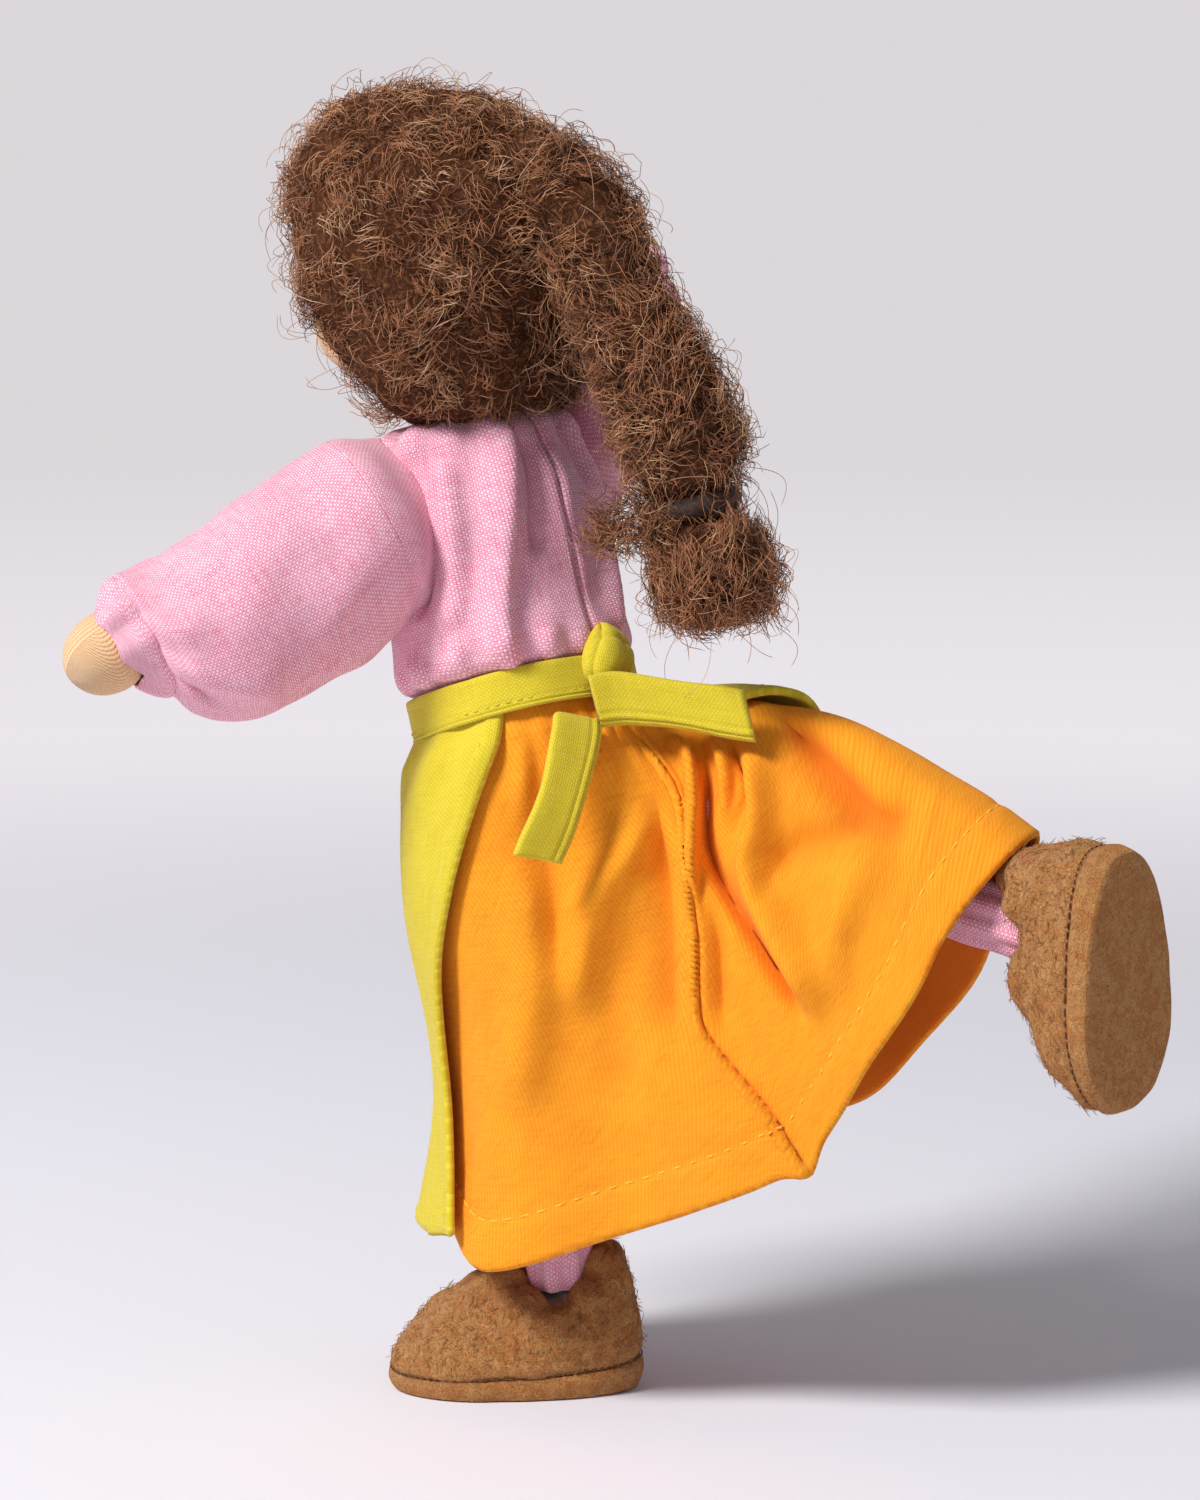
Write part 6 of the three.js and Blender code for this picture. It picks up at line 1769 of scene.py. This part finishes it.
class DOLL_OT_apron(Maker):
    """Makes the apron with its band, the knot and both free ends of the tie"""

    bl_idname = "doll.apron"
    bl_label = "Apron"

    def make(self, sizes):
        thick = sizes.cloth / MM
        rows = 90
        grid = apron_grid(rows, 150)
        across = np.cumsum(np.r_[0, np.linalg.norm(np.diff(grid[50], axis=0), axis=-1)])
        down = np.linspace(0, SKIRT_LENGTH * APRON_SHARE, rows)[:, None]
        from_edge = np.minimum(np.minimum(across, across[-1] - across)[None], down[-1] - down)
        thickness = thick + 0.25 * smooth(-from_edge, -1.45, -1.25)
        apron = cloth("apron_cotton", grid, thickness, closed=False)
        dress(apron, "yellow_cotton", None, ["apron"])
        declare_sheet(grid)
        bend_with_hip(apron)
        self.edge_stitches(grid, thick)
        self.band()
        self.knot()
        self.ends()

    def edge_stitches(self, grid, thick):
        """Machine stitches along the folded sides and hem."""
        inset, stitch = 1.25, 0.013
        width = np.linalg.norm(np.diff(grid, axis=1), axis=-1).sum(1)
        rows = np.linspace(0, 1, len(grid))
        down = np.linspace(0.03, 0.97, 46)
        across = np.linspace(0.03, 0.96, 44)
        hem = 1 - 1.3 / (SKIRT_LENGTH * APRON_SHARE) + 0 * across
        out = normals(grid, False)
        starts, ends, outs = [], [], []
        for edge in (0, 1):
            for found, row in ((starts, down), (ends, down + stitch)):
                found.append(on_grid(grid, row, abs(edge - inset / np.interp(row, rows, width)), False))
            outs.append(on_grid(out, down, abs(edge - 0.02) + 0 * down, False))
        starts.append(on_grid(grid, hem, across, False))
        ends.append(on_grid(grid, hem, across + stitch, False))
        outs.append(on_grid(out, hem, across, False))
        n = unit(np.concatenate(outs))
        a, b = (np.concatenate(found) + n * thick / 2 for found in (starts, ends))
        line = stitches("apron_edge_stitches", a, b, n, thick=0.14, lift=0.12)
        dress(line, "yellow_cotton", None, finish="yellow_thread")
        bend_with_hip(line)

    def band(self):
        """A folded strip round the waist: its section is carried round a circle that wavers a little,
        and stitches run in the groove above its lower edge."""
        out, high = closed_section(BAND_SECTION, 240).T[:, :, None]
        angle = circle(220)
        radius = BAND_RADIUS + out + 0.05 * np.sin(5 * angle) + 0.06 * np.sin(13 * angle + 1) * np.cos(high)
        rings = from_back(radius, angle, high + 0.1 * np.sin(3 * angle))
        band = looped("apron_band_cotton", placed(rings, PELVIS))
        dress(band, "yellow_cotton", "torso", ["apron_band"])
        place = (np.arange(64) + 0.5) / 64 * TURN
        a, b = (
            placed(from_back(BAND_RADIUS - 0.06, angle, GROOVE + 0.1 * np.sin(3 * angle)), PELVIS)
            for angle in (place, place + 0.055)
        )
        outs = from_back(1, place, 0) @ PELVIS[0].T
        line = stitches("band_stitches", a, b, outs, thick=0.13, lift=0.1)
        dress(line, "yellow_cotton", "torso", finish="yellow_thread")

    def knot(self):
        """A puff of creased cloth: an ellipsoid whose surface is pinched along folds that meet below."""
        rise = np.linspace(-np.pi / 2 + 0.05, np.pi / 2 - 0.05, 64)[:, None]
        turn = circle(96)[None]
        fold_lines = np.abs(np.sin(2 * (turn + 0.5 * np.sin(rise)) + 0.9)) ** 0.6
        crease = 0.12 * bell(rise - 0.25 - 0.5 * np.sin(turn + 0.6), 0.1) * smooth(np.cos(turn), -0.2, 0.6)
        size = 0.84 + 0.16 * fold_lines - crease
        x, y, z = np.moveaxis(from_back(np.cos(rise), turn, np.sin(rise)), -1, 0)
        wide, deep, tall = KNOT_HALF
        ball = np.stack([wide * x * size * (1 - 0.3 * z), deep * y * size, tall * z * size - 0.35 * x], -1)
        knot = rounded("knot_cotton", placed(ball + KNOT_PLACE, PELVIS))
        dress(knot, "yellow_cotton", "torso", ["apron_knot"])

    def ends(self):
        """Folded strips: a section with grooves between its layers, carried along a curve, level with a
        way across and rounded off at its end."""
        section = closed_section(TIE_SECTION, 400)
        share = np.linspace(0.0, 1, 70)
        soft = 1 + 0.04 * np.sin(9 * share)[:, None]
        round_end = np.sqrt(np.clip(1 - (np.clip(share - 0.985, 0, 1) / 0.016) ** 2, 0.15, 1))[:, None]
        for name, (shares, across, facing) in TIE_ENDS.items():
            line = smooth_line(np.array(shares) * TIE_REACH + WAIST)
            wide = unit(np.array(across, float))
            out = unit(np.cross(heading_at(line, share), wide)) * facing
            grid = at(line, share)[:, None] + wide * (section[:, 0] * soft)[..., None]
            grid = grid + out[:, None] * (section[:, 1] * round_end)[..., None]
            dress(rounded(name + "_cotton", grid), "yellow_cotton", "torso", [name])


SOLE_SHARES = [
    # shares of the upper's lowest ring: how wide, and how high
    [0.55, 0.0],
    [0.8, 0.0],
    [0.9, 0.0],
    [0.955, 0.08],
    [0.98, 0.3],
    [1.0, 0.6],
    [0.995, 0.85],
    [0.97, 1.0],
    [0.85, 1.0],
    [0.5, 1.0],
]


class DOLL_OT_shoes(Maker):
    """Makes the felt shoes with their soles, seams, stitches and loose fibres, and the wool inside"""

    bl_idname = "doll.shoes"
    bl_label = "Shoes"

    def make(self, sizes):
        """An upper of felt whose collar is turned in, with puckers at the ankle and a sunk heel seam."""
        rng = np.random.default_rng(17)
        for side in SIDES:
            place = shoe_place(side)
            angle = circle(SHOE_COLUMNS)[None]
            rise = np.linspace(1, 0.0, 50)[:, None]
            upper = shoe_rings(rise, angle, inset=0.55, collar_inset=0.55)
            out = normals(upper)
            out = out * np.sign(np.sum(out * (upper - [0, -2, 2]), -1, keepdims=True))
            pucker = 0.4 * np.sin(9 * angle + 2 * np.sin(2 * angle)) * smooth(rise, 0.55, 0.95)
            pucker = pucker * (1 - smooth(rise, 0.95, 1.2))
            seam = -0.3 * bell((angle - np.pi) * 5, 0.3) * smooth(rise, 1.05, 0.95) - 0.35 * bell(rise, 0.05)
            uneven = 0.28 * ripple(upper, 6, 51 + len(side)) + 0.12 * ripple(upper, 2.6, 52)
            grid = upper + out * (uneven + pucker + seam)[..., None]
            turned = np.linspace(1, 0.12, 8)[:, None, None]
            inwards = (np.array([0, -3.5, 0]) - grid[0]) * [1, 1, 0]
            edge = grid[0] + inwards * (0.4 * turned) + Z * (0.35 * np.sin(np.pi * turned) - 1.1 * turned**2)
            shoe = cloth(f"{side}_shoe_felt", placed(np.concatenate([edge, grid]), place), 1.05)
            dress(shoe, "brown_felt", f"{side}_foot", [f"{side}_shoe"])
            self.sole(side, place)
            self.seam_stitches(side, grid, place)
            self.fuzz(rng, sizes.fuzz, side, grid, out, place)
            self.foot(side, place)

    def sole(self, side, place):
        """The sole: the upper's lowest ring drawn in towards the floor, bulging at its edge."""
        top = shoe_rings(SHOE_FLOOR, circle(SHOE_COLUMNS)[None], 0, 0)[0] - Z * 0.3
        steps = np.arange(len(SOLE_SHARES))
        fine = np.linspace(0, steps[-1], 40)
        size, high = (np.interp(fine, steps, column)[:, None] for column in np.array(SOLE_SHARES).T)
        rings = np.stack([top[:, 0] * size, top[:, 1] * size, top[:, 2] * high], -1)
        rings = rings + (0.06 * ripple(rings, 3, 61))[..., None] * np.array([1, 1, 0])
        rings[..., 2] = np.maximum(rings[..., 2], 0)
        sole = rounded(f"{side}_sole_felt", placed(rings, place))
        dress(sole, "brown_felt", f"{side}_foot", [f"{side}_shoe_sole"])

    def seam_stitches(self, side, grid, place):
        """Small slanted stitches in the groove between upper and sole, and down the heel's seam."""
        count = 76
        angle = circle(count)
        low, high = (
            shoe_rings(SHOE_FLOOR, (angle + lean * TURN / count)[None], 0.22, 0)[0] - Z * 0.12
            for lean in (0, 0.8)
        )
        out = unit(np.c_[np.sin(angle), np.cos(angle), 0 * angle])
        t = np.linspace(0.12, 0.9, 13)
        heel_low = on_grid(grid, t, 0.5 + 0 * t) + [-0.35, -0.45, 0]
        heel_high = heel_low + [0.75, 0, -0.25]
        a, b = (placed(np.concatenate(both), place) for both in ([low, heel_low], [high, heel_high]))
        n = np.concatenate([out, np.tile([0.0, -1.0, 0.0], (len(t), 1))]) @ place[0].T
        line = stitches(f"{side}_shoe_stitches", a, b, n, thick=0.16, lift=0.05)
        dress(line, "brown_felt", f"{side}_foot", finish="brown_thread")

    def fuzz(self, rng, count, side, grid, out, place):
        """Short fibres that leave the felt at a slant."""
        row, column = rng.uniform(0, 1, count), rng.uniform(0, 1, count)
        spot = on_grid(grid, row, column)
        way = unit(on_grid(out, row, column))
        lean = hair_flows(rng, way, np.zeros(3), 1.0)
        s = np.linspace(0, 1, 5)[None, :, None]
        long = rng.uniform(0.35, 1.3, (count, 1, 1))
        rise = 0.45 + 0.5 * long * s * (1 - 0.4 * s)
        lines = spot[:, None] + way[:, None] * rise + lean[:, None] * long * s
        tone = rng.uniform(0.3, 0.9, (count, 1))
        dress(strands(f"{side}_shoe_fuzz", placed(lines, place), 0.06, tone), "brown_felt", f"{side}_foot")

    def foot(self, side, place):
        """Wound wool that fills the shoe up to the ankle."""
        angle = circle(64)[None]
        rings = shoe_rings(np.linspace(0, 0.8, 60)[:, None], angle, inset=1.45, collar_inset=2.8)
        rings[..., 2] = np.minimum(rings[..., 2] + 0.3, 8.5)
        # 0 in the grooves between turns, where the wool's finish paints shade.
        turn = np.abs(np.sin(np.pi * (rings[..., 2] / YARN_PITCH - angle / TURN)))
        foot = rounded(f"{side}_foot_wool", placed(rings, place), tone=turn)
        dress(foot, "wool", f"{side}_foot", [f"{side}_foot"])


AZIMUTH, ELEVATION = np.radians((137, 8))
CAMERA_DISTANCE, CAMERA_RIGHT, CAMERA_HEIGHT, LENS = 430, 7.08, 54.3, 123.84
FLOOR_REACH, FLOOR_BEND, WALL_HEIGHT = 1400, 500, 1200


class DOLL_OT_stage(Maker):
    """Makes the floor and backdrop, the lamps, the world and the camera"""

    bl_idname = "doll.stage"
    bl_label = "Stage"

    def make(self, sizes):
        self.camera()
        self.sweep()
        self.lamps()

    def aimed(self, name, data, place, target):
        """A camera or lamp at a place in metres, turned to look at a target."""
        item = bpy.data.objects.new(name, data)
        item.location = place
        item.rotation_euler = (Vector(target) - Vector(place)).to_track_quat("-Z", "Y").to_euler()
        bpy.context.scene.collection.objects.link(item)
        return item

    def camera(self):
        """A long lens behind the doll's left, a little above it."""
        right = np.array([np.cos(AZIMUTH), np.sin(AZIMUTH), 0])
        back = np.array([np.sin(AZIMUTH), -np.cos(AZIMUTH), 0]) * np.cos(ELEVATION) + Z * np.sin(ELEVATION)
        target = right * CAMERA_RIGHT + Z * CAMERA_HEIGHT
        data = bpy.data.cameras.new("camera")
        data.sensor_width = 36
        data.lens = LENS
        data.clip_start, data.clip_end = 0.01, 20
        camera = self.aimed("camera", data, (target + back * CAMERA_DISTANCE) * MM, target * MM)
        bpy.context.scene.camera = camera

    def sweep(self):
        """A floor that curves up into a backdrop all round, far enough off to be soft: flat to half its
        way, then an ellipse's quarter, and a wall above it."""
        rows, columns = 59, 96
        t = np.linspace(0, 1, rows + 1)[1:, None]
        bent = np.maximum(0, t - 0.5) * np.pi
        radius = FLOOR_REACH * np.minimum(t / 0.5, 1) + FLOOR_BEND * np.sin(bent)
        high = FLOOR_BEND * (1 - np.cos(bent)) + np.maximum(0, t - 0.98) / 0.02 * WALL_HEIGHT
        rings = spokes(np.eye(3), circle(columns)) * radius[..., None] + Z * high[..., None]
        points = np.vstack([rings.reshape(-1, 3), [[0, 0, 0]]])
        first = np.arange(columns)
        centre = np.stack([(first + 1) % columns, np.full(columns, rows * columns), first], -1)
        mesh = bpy.data.meshes.new("sweep")
        faces = grid_faces(rows, columns)[:, ::-1].tolist() + centre.tolist()
        mesh.from_pydata((points * MM).tolist(), [], faces)
        mesh.polygons.foreach_set("use_smooth", np.ones(len(mesh.polygons), bool))
        mesh.materials.append(self.backdrop())
        floor = bpy.data.objects.new("sweep", mesh)
        bpy.context.scene.collection.objects.link(floor)
        floor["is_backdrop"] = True

    def backdrop(self):
        """Paper that takes the doll's shadow near it; far from it, camera rays see it glow, darker farther
        off as a painted falloff of light.
        """
        finish = Finish("sweep", 0.95, 0.0, 0.1)
        finish.set("Base Color", srgb(232, 231, 239))
        away = finish.add("ShaderNodeVectorMath", {"operation": "LENGTH"}, {0: finish.place()}, "Value")
        # Painted falloff: the glow is darker farther from the doll.
        far = finish.mix(away.ramp(0.3, 1.0), srgb(236, 231, 237), srgb(220, 215, 218))
        glow = finish.add("ShaderNodeEmission", None, {"Color": far})
        rays = ("Camera", "Glossy", "Transmission")
        seen = sum(finish.add("ShaderNodeLightPath", out=f"Is {ray} Ray") for ray in rays)
        seen = seen * away.ramp(0.14, 0.42)
        paper = Link(finish, finish.shader.outputs["BSDF"])
        mixed = finish.add("ShaderNodeMixShader", None, {0: seen, 1: paper, 2: glow})
        finish.join(finish.tree.nodes["Material Output"].inputs["Surface"], mixed)
        return finish.material

    def lamps(self):
        """A hard lamp from the doll's left, a wide faint one behind it, and a dim sky."""
        for name, place, size, power, tint in (
            ("key", (0.63, -0.06, 0.64), 0.26, 8.6, (1, 0.99, 0.975)),
            ("fill", (-0.3, 0.9, 0.45), 0.8, 0.65, (0.97, 0.98, 1)),
        ):
            data = bpy.data.lights.new(name, "AREA")
            data.shape = "DISK"
            data.size = size
            data.energy = power
            data.color = tint
            self.aimed(name, data, place, (0, 0.01, 0.055))
        scene = bpy.context.scene
        scene.world = scene.world or bpy.data.worlds.new("world")
        scene.world.use_nodes = True
        sky = scene.world.node_tree.nodes["Background"].inputs
        sky["Color"].default_value = (1, 0.99, 0.985, 1)
        sky["Strength"].default_value = 0.285
        scene.view_settings.view_transform = "Standard"


MAKERS = (
    DOLL_OT_stage,
    DOLL_OT_frame,
    DOLL_OT_head,
    DOLL_OT_hair,
    DOLL_OT_blouse,
    DOLL_OT_hands,
    DOLL_OT_drawers,
    DOLL_OT_skirt,
    DOLL_OT_apron,
    DOLL_OT_shoes,
)


class DOLL_PT_panel(bpy.types.Panel):
    """Sizes and colours of the doll, and the pieces that it is made of"""

    bl_idname = "DOLL_PT_panel"
    bl_label = "Cloth Doll"
    bl_space_type = "VIEW_3D"
    bl_region_type = "UI"
    bl_category = "Doll"

    def draw(self, context):
        for group in (context.scene.doll_sizes, context.scene.doll_colours):
            box = self.layout.box()
            for name in group.bl_rna.properties.keys():
                if name not in {"rna_type", "name"}:
                    box.prop(group, name)
        for maker in MAKERS:
            self.layout.operator(maker.bl_idname)


CLASSES = (DollSizes, DollColours, *MAKERS, DOLL_PT_panel)


def register():
    for kind in CLASSES:
        bpy.utils.register_class(kind)
    bpy.types.Scene.doll_sizes = PointerProperty(type=DollSizes)
    bpy.types.Scene.doll_colours = PointerProperty(type=DollColours)


def unregister():
    del bpy.types.Scene.doll_colours
    del bpy.types.Scene.doll_sizes
    for kind in reversed(CLASSES):
        bpy.utils.unregister_class(kind)


def main():
    register()
    for maker in MAKERS:
        group, name = maker.bl_idname.split(".")
        getattr(getattr(bpy.ops, group), name)()
    boxes = {"cad": CAD_BOX, "visual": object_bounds()}
    {key: [list(corner) for corner in box] for key, box in boxes.items()}


if __name__ == "__main__":
    main()
